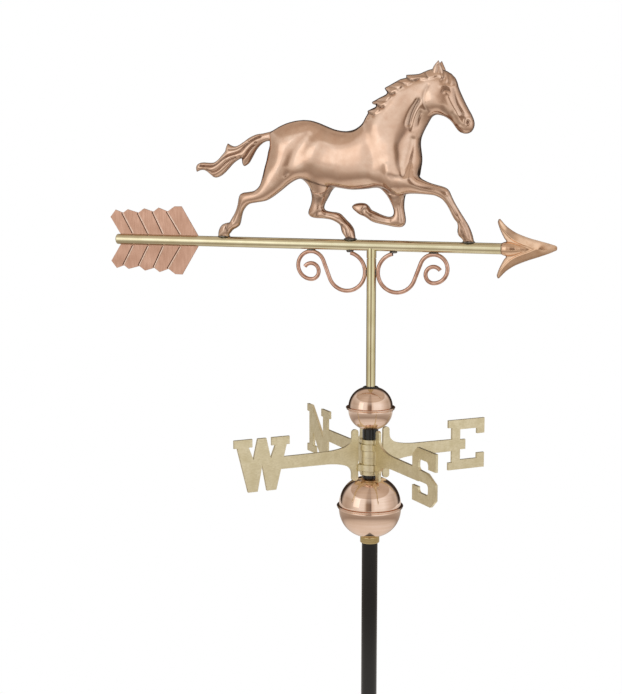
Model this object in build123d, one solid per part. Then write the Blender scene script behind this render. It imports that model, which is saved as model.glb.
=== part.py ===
"""Weather vane: a copper horse on an arrow that turns on a spindle above fixed compass arms.

Millimetres, +Z up.  The origin is the middle of the mast's lower end.  +X is along the
arrow, towards its tip, when the vane is at rest.  The mast, its two copper balls and the
four compass arms stand still; everything from the sleeve tube upwards turns about Z.
"""

import os
from math import asin, atan2, degrees, hypot

from build123d import *

os.makedirs("parts", exist_ok=True)

# Driving dimensions
ARROW_Z = 680.0  # axis of the arrow above the mast's lower end
MAST_R = 19.05 / 2  # 3/4 in steel bar
MAST_TOP = ARROW_Z - 166.8
MAST_CHAMFER = 1.0  # at the top only; the lower end is sawn square
SPINDLE_R = 7.94 / 2  # 5/16 in steel rod
SPINDLE_DEPTH = 45.0  # how far the spindle goes down into the mast
SLEEVE_R = 11.11 / 2  # 7/16 in brass tube
SLEEVE_BORE_R = SPINDLE_R + 0.08
ARROW_R = 12.7 / 2  # 1/2 in brass tube
ARROW_BORE_R = ARROW_R - 1.2
ARROW_TAIL_X = -331.0
ARROW_HEAD_X = 154.0
SCROLL_ROD_R = 4.76 / 2  # 3/16 in copper rod
SHEET = 1.2  # feather sheet
HORSE_WALL = 0.9  # pressed copper sheet
BALL_WALL = 0.9
COMPASS_Z = ARROW_Z - 247.8  # middle height of the letters
HUB_SPLIT_Z = ARROW_Z - 251.0  # where the two compass castings meet
HUB_HEIGHT = 21.4
EAST_ANGLE = 45.0  # east arm, counter-clockwise from the arrow seen from above
CLEAR = 0.02  # gap between soldered or stacked parts

XZ = Plane(origin=(0, 0, ARROW_Z), x_dir=(1, 0, 0), z_dir=(0, -1, 0))  # seen from the right side


def save(shape, node):
    """Write one sub-part as parts/NODE.step."""
    shape = Compound(children=shape) if isinstance(shape, list) else shape
    export_step(shape, f"parts/{node}.step")


def rod(radius, low, high, bore=0.0):
    """Upright round bar from height low to high, with an optional bore right through."""
    bar = Pos(0, 0, low) * extrude(Circle(radius), high - low)
    if bore:
        bar -= Pos(0, 0, low) * extrude(Circle(bore), high - low)
    return bar


def arrow_rod(radius, start, end):
    """Round bar along the arrow's axis."""
    return Plane(origin=(start, 0, ARROW_Z), z_dir=(1, 0, 0)) * extrude(Circle(radius), end - start)


# Mast and spindle
def mast():
    bar = rod(MAST_R, 0, MAST_TOP)
    bar = chamfer(bar.edges().group_by(Axis.Z)[-1], MAST_CHAMFER)
    return bar - rod(SPINDLE_R, MAST_TOP - SPINDLE_DEPTH, MAST_TOP)


PIVOT_Z = ARROW_Z - 26.0  # lower face of the cap that rests on the bearing ball
BALL_GAP = 0.05
PIVOT_BALL_R = SPINDLE_R
PIVOT_BALL_Z = PIVOT_Z - BALL_GAP - PIVOT_BALL_R


def pivot_ball():
    return Pos(0, 0, PIVOT_BALL_Z) * Sphere(PIVOT_BALL_R)


def spindle():
    top = PIVOT_BALL_Z - 0.6 * PIVOT_BALL_R
    return rod(SPINDLE_R, MAST_TOP - SPINDLE_DEPTH, top) - pivot_ball()


# Copper balls: two spun halves, each with a rim, on the mast
def ball_half(centre_z, radius, rim_radius, side):
    """Upper (side 1) or lower (side -1) half of a ball with a rim that turns up at its edge."""
    hole = MAST_R + 0.05
    shell = Sphere(radius) - Sphere(radius - BALL_WALL)
    shell -= Cylinder(hole, 3 * radius)
    shell &= Pos(0, 0, side * radius) * Box(3 * radius, 3 * radius, 2 * radius)
    reach = rim_radius - radius + BALL_WALL
    rim = Pos(0, 0, side * BALL_WALL / 2) * Cylinder(rim_radius - 0.7, BALL_WALL)
    rim -= Pos(0, 0, side * BALL_WALL / 2) * Cylinder(rim_radius - reach, BALL_WALL)
    half = shell + rim
    if side == 1:
        lip = revolve(Plane.XZ * Pos(rim_radius - 0.7, 1.3) * Circle(0.65), Axis.Z)
        half += lip
    return Pos(0, 0, centre_z) * half


BALLS = {
    "large_ball": (ARROW_Z - 312.3, 37.3, 39.9),
    "small_ball": (ARROW_Z - 192.9, 26.5, 29.4),
}
COLLAR_TOP = BALLS["large_ball"][0] - 36.0
COLLAR_HEIGHT = 8.0
COLLAR_R = 11.6


def ball_collar():
    """Brass collar that carries the large ball, with a rounded outside and a set-screw hole."""
    section = Pos((MAST_R + COLLAR_R) / 2, 0) * RectangleRounded(COLLAR_R - MAST_R, COLLAR_HEIGHT, 0.9)
    ring = Pos(0, 0, COLLAR_TOP - COLLAR_HEIGHT / 2) * revolve(Plane.XZ * section, Axis.Z)
    return ring - collar_screw(socket=0)


def set_screw(height, angle, outer, socket=1.2):
    """Set screw lying across the mast; with no hexagon socket it is the hole that holds it."""
    length = outer - MAST_R
    screw = extrude(Circle(1.5), length)
    if socket:
        screw -= Pos(0, 0, length - socket) * extrude(RegularPolygon(0.85, 6), socket)
    return Rot(0, 0, angle) * (Plane(origin=(MAST_R, 0, height), z_dir=(1, 0, 0)) * screw)


def collar_screw(socket=1.2):
    return set_screw(COLLAR_TOP - COLLAR_HEIGHT / 2, 100.0, COLLAR_R, socket)


# Compass castings
PLATE = 3.2  # thickness of the flat arms and letters
FOOT_R = 16.5  # inner edge of each arm's foot
FINGER = 8.5
FOOT_HALF = 31.0  # the foot is as high as the letters
LETTER_HEIGHT = 2 * FOOT_HALF
SERIF = 9.4
ARM_HALF = 7.2
ARM_END = 120.0  # the arm ends inside the letter's nearest stroke
HUB_R = 12.3
BAND_R = 13.7


def arm_outline():
    """Foot with two fingers, flaring into the arm; x is the distance from the mast."""
    side = FOOT_R + FINGER
    flare_top = (side, 22.5)
    flare_end = (side + 32.0, ARM_HALF + 0.4)
    half = make_face(Curve() + [
        Line((FOOT_R, 0), (FOOT_R, FOOT_HALF)),
        Line((FOOT_R, FOOT_HALF), (side, FOOT_HALF)),
        Line((side, FOOT_HALF), flare_top),
        Bezier(flare_top, (side, 12.5), (side + 10.0, ARM_HALF + 1.6), flare_end),
        Line(flare_end, (ARM_END, ARM_HALF)),
        Line((ARM_END, ARM_HALF), (ARM_END, 0)),
        Line((ARM_END, 0), (FOOT_R, 0)),
    ])
    corners = [v for v in half.vertices() if v.Y > FOOT_HALF - 0.1]
    half = fillet(corners, 3.8)
    return half + mirror(half, Plane.XZ)


def slab_w():
    """W with slab serifs, made as one half and its mirror image."""
    middle = 34.5
    top = LETTER_HEIGHT
    left = make_face(Polyline(
        (0, top), (22.5, top), (22.5, top - SERIF), (18, top - SERIF), (23.7, 38), (29.2, top),
        (middle, top), (middle, 30.5), (28.7, 0), (17, 0), (3.8, top - SERIF), (0, top - SERIF),
        close=True,
    ))
    return left + mirror(left, Plane(origin=(middle, 0, 0), z_dir=(1, 0, 0)))


def slab_n():
    """N with slab serifs on three corners and a plain lower right corner."""
    top = LETTER_HEIGHT
    return make_face(Polyline(
        (0, top), (14, top), (47.8, 25), (47.8, top - SERIF), (42.5, top - SERIF), (42.5, top),
        (66, top), (66, top - SERIF), (59.7, top - SERIF), (59.7, 0), (40, 0), (18, 27),
        (18, SERIF), (24.5, SERIF), (24.5, 0), (0, 0), (0, SERIF), (6.5, SERIF),
        (6.5, top - SERIF), (0, top - SERIF), close=True,
    ))


def slab_e():
    """E with slab serifs and a short middle bar."""
    top = LETTER_HEIGHT
    bar = 12.0
    return make_face(Polyline(
        (0, top), (51, top), (51, top - 19), (40.5, top - 19), (40.5, top - bar), (16.5, top - bar),
        (16.5, 37.2), (24, 37.2), (24, 25), (16.5, 25), (16.5, bar), (40.5, bar), (40.5, 18.5),
        (51, 18.5), (51, 0), (0, 0), (0, SERIF), (5, SERIF), (5, top - SERIF), (0, top - SERIF),
        close=True,
    ))


def slab_s():
    """S cut as a block letter, with two chamfered corners and two rounded slots."""
    top = LETTER_HEIGHT
    slots = [(13, 37.5), (13, top - 12.3), (36, top - 12.3), (36, 24.7), (36, 11.5), (13, 11.5)]
    letter = make_face(Polyline(
        (0, 0), (41, 0), (52, 9.5), (52, 27.5), (34, 36.5), slots[0], slots[1], slots[2],
        (36, top - 20.5), (52, top - 20.5), (52, top), (11, top), (0, top - 9.3), (0, 24.7),
        slots[3], slots[4], slots[5], (13, 17.5), (0, 17.5), close=True,
    ))
    corners = [v for v in letter.vertices() if (round(v.X, 1), round(v.Y, 1)) in
               [(round(x, 1), round(y, 1)) for x, y in slots]]
    return fillet(corners, 4.5)


def compass_plate(letter, inner, angle):
    """One arm with its letter, standing in the vertical plane at the given angle."""
    flat = arm_outline() + Pos(inner, -FOOT_HALF) * letter
    upright = Plane(origin=(0, 0, COMPASS_Z), x_dir=(1, 0, 0), z_dir=(0, -1, 0))
    return Rot(0, 0, angle) * (upright * extrude(flat, PLATE / 2, both=True))


def casting(right, left, angle, side):
    """Hub with two opposite arms; side 1 puts the hub above the split, -1 below it.

    right and left are each a letter and its inner radius.  Seen so that the right letter
    reads properly, the left one stands on the other side of the mast and reads properly too.
    """
    low = HUB_SPLIT_Z if side == 1 else HUB_SPLIT_Z - HUB_HEIGHT
    gap = CLEAR if side == 1 else 0.0
    hole = MAST_R + 0.05
    hub = rod(HUB_R, low + gap, low + HUB_HEIGHT)
    band_z = HUB_SPLIT_Z + side * 12.4
    hub += rod(BAND_R, band_z - 3.8, band_z + 3.8)
    for (letter, inner), turn in ((right, 0), (left, 180)):
        width = letter.bounding_box().max.X
        if turn:
            letter = Pos(width, 0) * mirror(letter, Plane.YZ)
        web = Pos((BAND_R + FOOT_R) / 2, 0, band_z) * Box(6.0, 8.0, 7.6)
        hub += Rot(0, 0, angle + turn) * web
        hub += compass_plate(letter, inner, angle + turn)
    return hub - rod(hole, low - 1, low + HUB_HEIGHT + 1)


def hub_screw(side, socket=1.2):
    """Set screw in the narrow part of the upper (1) or lower (-1) hub."""
    return set_screw(HUB_SPLIT_Z + side * 4.5, EAST_ANGLE + 45.0, HUB_R, socket)


# Sleeve, cap and arrow
SLEEVE_TOP = ARROW_Z - 15.6


def sleeve_tube():
    return rod(SLEEVE_R, MAST_TOP + 0.5, SLEEVE_TOP, SLEEVE_BORE_R)


def sleeve_cap():
    """Turned cap: a saddle for the arrow, a groove, and a spigot inside the tube."""
    cap = rod(SLEEVE_R + 0.15, SLEEVE_TOP + 1.0, ARROW_Z)
    cap += rod(SLEEVE_R - 0.7, SLEEVE_TOP + CLEAR, SLEEVE_TOP + 1.0)
    cap += rod(SLEEVE_BORE_R, PIVOT_Z, SLEEVE_TOP + 1.0)
    return cap - arrow_rod(ARROW_R + CLEAR, -30, 30)


def arrow_tube():
    tube = arrow_rod(ARROW_R, ARROW_TAIL_X, ARROW_HEAD_X)
    return tube - arrow_rod(ARROW_BORE_R, ARROW_TAIL_X, ARROW_HEAD_X)


def tail_cap():
    """Rounded plug in the tail end of the arrow tube."""
    dome = arrow_rod(ARROW_R, ARROW_TAIL_X - 2.0, ARROW_TAIL_X)
    dome = fillet(dome.edges().group_by(Axis.X)[0], 1.8)
    return dome + arrow_rod(ARROW_BORE_R, ARROW_TAIL_X, ARROW_TAIL_X + 10)


# Arrow head: two pressed halves that meet in the vertical middle plane
HEAD_TIP_X = 217.0
HEAD_HALF = 34.0
HEAD_RISE = 3.6  # half thickness of the wings
SOCKET_R = 8.6


def head_outline():
    """Upper half of the swept arrow head as a closed outline on the arrow's axis."""
    tip = (HEAD_TIP_X, 0)
    barb = (152.0, HEAD_HALF - 0.5)
    inner = (160.0, 7.0)
    return make_face(Curve() + [
        Line((160.0, 0), tip),
        Line(tip, (HEAD_TIP_X - 0.5, 2.6)),
        Bezier((HEAD_TIP_X - 0.5, 2.6), (193.0, 9.0), (170.0, 18.0), barb),
        Line(barb, (149.0, HEAD_HALF - 3.5)),
        Bezier((149.0, HEAD_HALF - 3.5), (152.0, 20.0), (155.0, 12.0), inner),
        Line(inner, (160.0, 0)),
    ])


def head_half(side):
    """Wing sheet with a bullet-shaped socket; side -1 is the right half, 1 the left half."""
    upper = head_outline()
    wings = upper + mirror(upper, Plane.XZ)
    plate = XZ * extrude(wings, HEAD_RISE, both=True)
    profile = make_face(Curve() + [
        Line((ARROW_HEAD_X + CLEAR, 0), (ARROW_HEAD_X + CLEAR, ARROW_R)),
        Spline((ARROW_HEAD_X + CLEAR, ARROW_R), (160.0, SOCKET_R), (168.0, 6.6), (184.0, 0)),
        Line((184.0, 0), (ARROW_HEAD_X + CLEAR, 0)),
    ])
    bullet = Pos(0, 0, ARROW_Z) * revolve(Plane.XZ * profile, Axis.X)
    head = plate + bullet + arrow_rod(ARROW_BORE_R, ARROW_HEAD_X - 12, ARROW_HEAD_X + 4)
    room = Box(200, 40, 120)
    return head & Pos(190, side * (20 + CLEAR / 2), ARROW_Z) * room


# Feathers: five barbs of flat sheet above the tube and five below
BARB_ROOTS = (-310.0, -289.0, -268.5, -245.0)
BARB_NOTCHES = ((-324.0, 32.7), (-302.7, 33.1), (-282.1, 34.7), (-262.6, 35.3))
BARB_PEAKS = ((-334.3, 36.4), (-317.6, 37.1), (-295.0, 38.5), (-275.0, 39.8), (-253.5, 41.6))
FEATHER_FRONT = -221.7
FEATHER_REAR = -328.0


def feather(side):
    """Feather sheet above (side 1) or below (side -1) the tube, with pressed ribs."""
    foot = ARROW_R + CLEAR
    outline = [(FEATHER_REAR, foot), (-341.7, 27.4)]
    for peak, notch in zip(BARB_PEAKS, BARB_NOTCHES):
        outline += [peak, notch]
    outline += [BARB_PEAKS[-1], (-243.8, 41.8), (FEATHER_FRONT, foot)]
    sheet = XZ * extrude(make_face(Polyline(*outline, close=True)), SHEET / 2, both=True)
    for root, notch in zip(BARB_ROOTS, BARB_NOTCHES):
        start = Vector(root, 0, ARROW_Z + foot + 1.2)
        run = Vector(notch[0], 0, ARROW_Z + notch[1] - 0.6) - start
        sheet += Plane(origin=start, z_dir=run) * extrude(Circle(1.1), run.length)
    return sheet if side == 1 else Pos(0, 0, 2 * ARROW_Z) * mirror(sheet, Plane.XY)


# Scrolls: one rod each, a large hook, a straight rise and a curl
HOOK_R = 22.7
CURL_R = 16.5
CURL_END_R = 9.5
HOOK_X = SLEEVE_R + SCROLL_ROD_R + HOOK_R + CLEAR
HOOK_Z = ARROW_R + SCROLL_ROD_R + HOOK_R + CLEAR  # below the arrow's axis
CURL_X = 75.0
CURL_Z = ARROW_R + SCROLL_ROD_R + CURL_R + CLEAR
HOOK_START = 103.0  # angle of the hook's free end
CURL_STOP = 235.0  # how far the last curl goes round


def scroll_path():
    """Centre line of the scroll on the tip's side: x along the arrow, y up from its axis."""
    centre = atan2(HOOK_Z - CURL_Z, CURL_X - HOOK_X)
    rise = centre + asin((HOOK_R + CURL_R) / hypot(CURL_X - HOOK_X, HOOK_Z - CURL_Z))
    leave = degrees(rise) - 90
    join = degrees(rise) + 90
    hook = CenterArc((HOOK_X, -HOOK_Z), HOOK_R, HOOK_START, leave + 360 - HOOK_START)
    curl = CenterArc((CURL_X, -CURL_Z), CURL_R, join, -(join + 90))
    curl_end = CenterArc((CURL_X, -CURL_Z - CURL_R + CURL_END_R), CURL_END_R, -90, -CURL_STOP)
    return Curve() + [hook, Line(hook @ 1, curl @ 0), curl, curl_end]


def scroll(side):
    path = XZ * scroll_path()
    start = path.edges().sort_by(Axis.X)[0]
    path = Wire(path.edges())
    section = Plane(origin=path @ 0, z_dir=path % 0) * Circle(SCROLL_ROD_R)
    bar = sweep(section, path)
    return bar if side == 1 else mirror(bar, Plane.YZ)


# Horse: each section is an oval between a point on the top line and one on the lower line
SECTIONS = (  # top x, top z, lower x, lower z, half width; z is above the arrow's axis
    (-131, 124, -131, 102, 5), (-122, 133, -123, 86, 15), (-103, 140.5, -103, 68, 21),
    (-78, 143.5, -78, 68, 22), (-45, 132, -45, 67, 21), (-16, 135, -14, 64, 22),
    (-4, 143, 24, 65, 22.5), (8, 154, 52, 78, 20), (23, 168, 58.5, 106, 16.5),
    (41, 183, 63, 133, 12.5), (61, 195, 73, 150.5, 10.5), (79, 199, 77, 149, 11),
    (96, 194, 84, 147, 11.5), (103.5, 177, 92, 141.5, 9.5), (111, 162.5, 99.5, 134, 7.5),
    (118, 150, 107, 129.5, 7.2), (120.5, 141, 113.5, 132, 4.5),
)


def oval(section, wall):
    """Oval section, drawn in by the wall thickness; returns its plane and its two radii."""
    top_x, top_z, low_x, low_z, wide = section
    top = Vector(top_x, 0, ARROW_Z + top_z)
    low = Vector(low_x, 0, ARROW_Z + low_z)
    place = Plane(origin=(top + low) / 2, x_dir=(0, 1, 0), z_dir=(top_z - low_z, 0, low_x - top_x))
    return place, wide - wall, (top - low).length / 2 - wall


def horse_form(wall=0.0):
    """Outer form of trunk, neck and head, or the hollow inside it."""
    ovals = [oval(section, wall) for section in SECTIONS]
    if wall:
        ovals[0] = (ovals[0][0].offset(wall), *ovals[0][1:])
        ovals[-1] = (ovals[-1][0].offset(-wall), *ovals[-1][1:])
    return loft([place * Ellipse(wide, deep) for place, wide, deep in ovals])


LEGS = {  # x, y, height above the arrow's axis, radius
    "right_foreleg": (
        (30, -9, 88, 11), (46, -13, 70, 11.5), (80, -10, 65, 7), (91.5, -8, 58, 6.6),
        (101.5, -5, 40, 4.9), (108.5, -3, 25, 5.4), (115, 0, 9, 5.8),
    ),
    "left_foreleg": (
        (21, 9, 82, 11), (25, 12, 64, 11), (29, 12.5, 44, 7.2), (30.5, 12, 27, 6.6),
        (12, 11.5, 29, 4.6), (-5, 11, 34.5, 4.4), (-13, 11, 39.5, 4.8), (-23, 11, 44.5, 5.6),
    ),
    "right_hind_leg": (
        (-104, -9, 84, 12), (-127, -12.5, 64, 11.5), (-146, -11, 54, 7), (-160, -9, 47, 6.4),
        (-167, -6, 33, 5.4), (-174, -4, 21, 5.6), (-187, 0, 13, 6.0),
    ),
    "left_hind_leg": (
        (-72, 8, 86, 12), (-70, 11, 68, 14), (-70, 10.5, 50, 8.4), (-74, 9.5, 36.5, 6.8),
        (-58, 8, 34.5, 5), (-42, 6, 29.5, 5.2), (-33, 3, 19, 5), (-26, 0, 9.5, 6.0),
    ),
}
SHARP_TURN = 60.0


def limb(stations, wall=0.0):
    """Round tapering limb through the stations, in lofts that meet in a ball at sharp joints."""
    points = [Vector(x, y, ARROW_Z + z) for x, y, z, _ in stations]
    radii = [station[3] - wall for station in stations]
    points[-1] += (points[-2] - points[-1]).normalized() * wall
    runs = [(b - a).normalized() for a, b in zip(points, points[1:])]
    breaks = [i for i in range(1, len(runs)) if runs[i - 1].get_angle(runs[i]) > SHARP_TURN]
    form = None
    for first, last in zip([0] + breaks, breaks + [len(runs)]):
        sections = []
        for i in range(first, last + 1):
            axis = runs[min(i, last - 1)] + runs[max(i - 1, first)]
            place = Plane(origin=points[i], x_dir=(0, 1, 0), z_dir=axis.normalized())
            sections.append(place * Circle(radii[i]))
        part = loft(sections)
        form = part if form is None else form + part
    for i in breaks:
        form += Pos(points[i]) * Sphere(radii[i])
    return form


TAIL_OUTLINE = (
    (-124, 129), (-144, 127.5), (-158, 121.5), (-172, 113), (-182, 117), (-185, 108), (-197, 97.5),
    (-213, 95.5), (-223.5, 86.5), (-213, 87.5), (-199, 77), (-184, 85), (-168, 99.5),
    (-160, 92), (-153, 95), (-145, 110), (-126, 119),
)
MANE_OUTLINE = (
    (-12, 137), (-6, 153), (3.5, 159.5), (0, 164), (19, 173.5), (15, 180), (40, 190), (40, 195),
    (55, 194.5), (71, 202), (84, 190), (60, 170), (20, 140),
)
HAIR_HALF = 4.0


def hair(outline):
    """Hair as a slab of the given outline, in the middle plane of the horse."""
    face = make_face(Polyline(*outline, close=True))
    return XZ * extrude(face, HAIR_HALF, both=True)


def ear(side):
    """Hollow-looking pointed ear; side -1 is the right ear."""
    base = Plane(origin=(77, side * 6.0, ARROW_Z + 190), z_dir=(0.05, side * 0.1, 1)) * Ellipse(5.6, 3.2)
    tip = Plane(origin=(79.6, side * 7.6, ARROW_Z + 210), z_dir=(0.05, side * 0.1, 1)) * Ellipse(0.7, 0.5)
    return loft([base, tip])


# Soft solder: a pad under each hoof on the arrow, and a bead where each scroll touches
HOOVES_X = {"right_foreleg": 115.5, "right_hind_leg": -187.0, "left_hind_leg": -26.0}


def hoof_pad(name):
    pad = Pos(HOOVES_X[name], 0, ARROW_Z + ARROW_R + 0.6) * Cylinder(6.6, 2.6)
    return pad - limb(LEGS[name]) - arrow_rod(ARROW_R + CLEAR, -250, 150)


def scroll_beads(side, bar):
    places = (
        (HOOK_X, -ARROW_R, Box(9.0, 3.0, 2.6)),
        (CURL_X, -ARROW_R, Box(9.0, 3.0, 2.6)),
        (SLEEVE_R, -HOOK_Z, Box(2.6, 3.0, 9.0)),
    )
    beads = []
    for x, z, block in places:
        bead = Pos(side * x, 0, ARROW_Z + z) * block
        bead -= arrow_rod(ARROW_R + CLEAR, -120, 120)
        bead -= rod(SLEEVE_R + CLEAR, MAST_TOP + 20, SLEEVE_TOP)
        beads.append(bead - bar)
    return beads


def main():
    save(mast(), "mast_rod")
    save(spindle(), "spindle")
    save(pivot_ball(), "pivot_ball")
    for name, (height, radius, rim) in BALLS.items():
        save(ball_half(height, radius, rim, 1), f"{name}_upper_half")
        save(ball_half(height, radius, rim, -1), f"{name}_lower_half")
    save(ball_collar(), "ball_collar")
    save(collar_screw(), "collar_set_screw")

    north_south = casting((slab_s(), 106.0), (slab_n(), 111.0), EAST_ANGLE - 90, 1)
    east_west = casting((slab_e(), 106.5), (slab_w(), 105.5), EAST_ANGLE, -1)
    save(north_south - hub_screw(1, socket=0), "compass_arm_north_south")
    save(east_west - hub_screw(-1, socket=0), "compass_arm_east_west")
    save([hub_screw(1), hub_screw(-1)], "hub_set_screws")

    save(sleeve_tube(), "sleeve_tube")
    save(sleeve_cap(), "sleeve_cap")
    save(arrow_tube(), "arrow_tube")
    save(tail_cap(), "arrow_tail_cap")
    save(head_half(-1), "arrow_head_right_half")
    save(head_half(1), "arrow_head_left_half")
    save(feather(1), "upper_feather")
    save(feather(-1), "lower_feather")
    scrolls = [scroll(1), scroll(-1)]
    save(scrolls[0], "tip_side_scroll")
    save(scrolls[1], "tail_side_scroll")
    beads = scroll_beads(1, scrolls[0]) + scroll_beads(-1, scrolls[1])
    save([solid for bead in beads for solid in bead.solids()], "scroll_solder")

    form = horse_form()
    shell = form - horse_form(HORSE_WALL)
    room = Box(400, 60, 300)
    for side, name in ((-1, "right"), (1, "left")):
        half = shell & (Pos(0, side * (30 + CLEAR / 2), ARROW_Z + 120) * room)
        save(half, f"horse_{name}_half")
    for name, stations in LEGS.items():
        leg = limb(stations) - limb(stations, HORSE_WALL) - form
        save(leg - arrow_rod(ARROW_R + CLEAR, -250, 150), name)
    save([hoof_pad(name) for name in HOOVES_X], "hoof_solder")
    save(hair(TAIL_OUTLINE) - form, "horse_tail")
    save(hair(MANE_OUTLINE) - form, "horse_mane")
    for side, name in ((-1, "right"), (1, "left")):
        save(ear(side) - form, f"horse_{name}_ear")


main()
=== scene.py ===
# %% [markdown]
# # Weather vane: a copper horse on a brass arrow
#
# The vane is built around a fixed frame: CAD bodies that already have their real size and place.
# The mast, two copper balls and four compass arms stand still. Everything from the sleeve tube
# upwards turns on a spindle. This lesson makes the visible metal of each piece.

# %% Load the fixed frame
import math

import bmesh
import bpy
import numpy as np
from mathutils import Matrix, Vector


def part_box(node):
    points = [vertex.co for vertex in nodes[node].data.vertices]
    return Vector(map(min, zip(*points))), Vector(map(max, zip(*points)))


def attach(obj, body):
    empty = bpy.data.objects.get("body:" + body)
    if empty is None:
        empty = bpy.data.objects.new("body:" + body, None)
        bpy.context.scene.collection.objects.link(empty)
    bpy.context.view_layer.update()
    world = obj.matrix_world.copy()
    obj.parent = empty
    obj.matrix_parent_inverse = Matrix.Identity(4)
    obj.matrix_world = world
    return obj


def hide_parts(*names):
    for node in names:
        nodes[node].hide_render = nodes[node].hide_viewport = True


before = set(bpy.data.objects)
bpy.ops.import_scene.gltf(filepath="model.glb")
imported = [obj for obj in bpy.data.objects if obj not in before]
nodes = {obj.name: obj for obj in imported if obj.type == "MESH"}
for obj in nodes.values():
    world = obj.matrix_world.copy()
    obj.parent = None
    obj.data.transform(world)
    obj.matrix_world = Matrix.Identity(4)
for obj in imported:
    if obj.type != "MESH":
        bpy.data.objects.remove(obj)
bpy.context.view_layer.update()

import openvdb
from mathutils import Vector

MM = 0.001

# %% [markdown]
# ## Places to build from
#
# Every length below comes from a CAD node's box, so a piece can't drift from the frame.
# Numbers in this file are millimetres unless a name says otherwise, because a maker thinks in
# millimetres; one function turns them into metres at the very end.

# %% Measure the frame
def span(node, axis):
    """Lowest and highest coordinate of a CAD node on one axis, in millimetres."""
    low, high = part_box(node)
    return low[axis] / MM, high[axis] / MM


TUBE_LOW, TUBE_HIGH = span("arrow_tube", 2)
AXIS_Z = (TUBE_LOW + TUBE_HIGH) / 2
ARROW_R = (TUBE_HIGH - TUBE_LOW) / 2
SLEEVE_R = span("sleeve_tube", 0)[1]
MAST_R = span("mast_rod", 0)[1]
print("arrow axis", round(AXIS_Z, 2), "tube radius", round(ARROW_R, 2), "sleeve", round(SLEEVE_R, 2))

# %% [markdown]
# ## Three small helpers
#
# Paint charts give colours as sRGB hex codes, but a shader works with linear light. One function
# turns a hex code to linear. The next adds any node with its settings and its links, so each
# material below reads as a short list of what feeds what. The last puts an object in the scene.

# %% Colour, node and object helpers
def paint(code):
    """Linear RGBA from an sRGB hex code."""
    channels = [int(code[i:i + 2], 16) / 255 for i in (0, 2, 4)]
    linear = [c / 12.92 if c <= 0.04045 else ((c + 0.055) / 1.055) ** 2.4 for c in channels]
    return (*linear, 1.0)


def add(tree, kind, feeds=None, **settings):
    """Add one node. Each feed is a value, or the output socket that is linked to that input."""
    node = tree.nodes.new(kind)
    for name, value in settings.items():
        setattr(node, name, value)
    for key, value in (feeds or {}).items():
        if isinstance(value, bpy.types.NodeSocket):
            tree.links.new(value, node.inputs[key])
        else:
            node.inputs[key].default_value = value
    return node


def placed(name, data):
    """New object in the scene, at the origin and unturned."""
    thing = bpy.data.objects.new(name, data)
    bpy.context.scene.collection.objects.link(thing)
    return thing


def new_finish(name, metallic=1.0, roughness=0.3):
    """An empty material with its shader, its tree and a coordinate node in metres."""
    finish = bpy.data.materials.new(name)
    finish.use_nodes = True
    tree = finish.node_tree
    shader = tree.nodes["Principled BSDF"]
    shader.inputs["Metallic"].default_value = metallic
    shader.inputs["Roughness"].default_value = roughness
    return finish, tree, shader, add(tree, "ShaderNodeTexCoord").outputs["Object"]


WHITE = paint("FFFFFF")
print("white", WHITE)

# %% [markdown]
# ## Worked metals
#
# Copper and brass keep the marks of how they were made: long lines on a drawn tube, rings on a
# spun ball, a fine grain on a rubbed casting, and soft cloudy patches where a hand has polished
# unevenly. All of these are noise, stretched by a different spacing along x, y and z. The real
# marks are a few hundredths of a millimetre wide, too fine to see at this distance, so they are
# drawn about ten times as coarse.

# %% One recipe for worked metal
SEAM_DARK, SEAM_CLEAN = 0.35, 1.5  # from the middle plane to the end of the stain, and to clean metal


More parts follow.
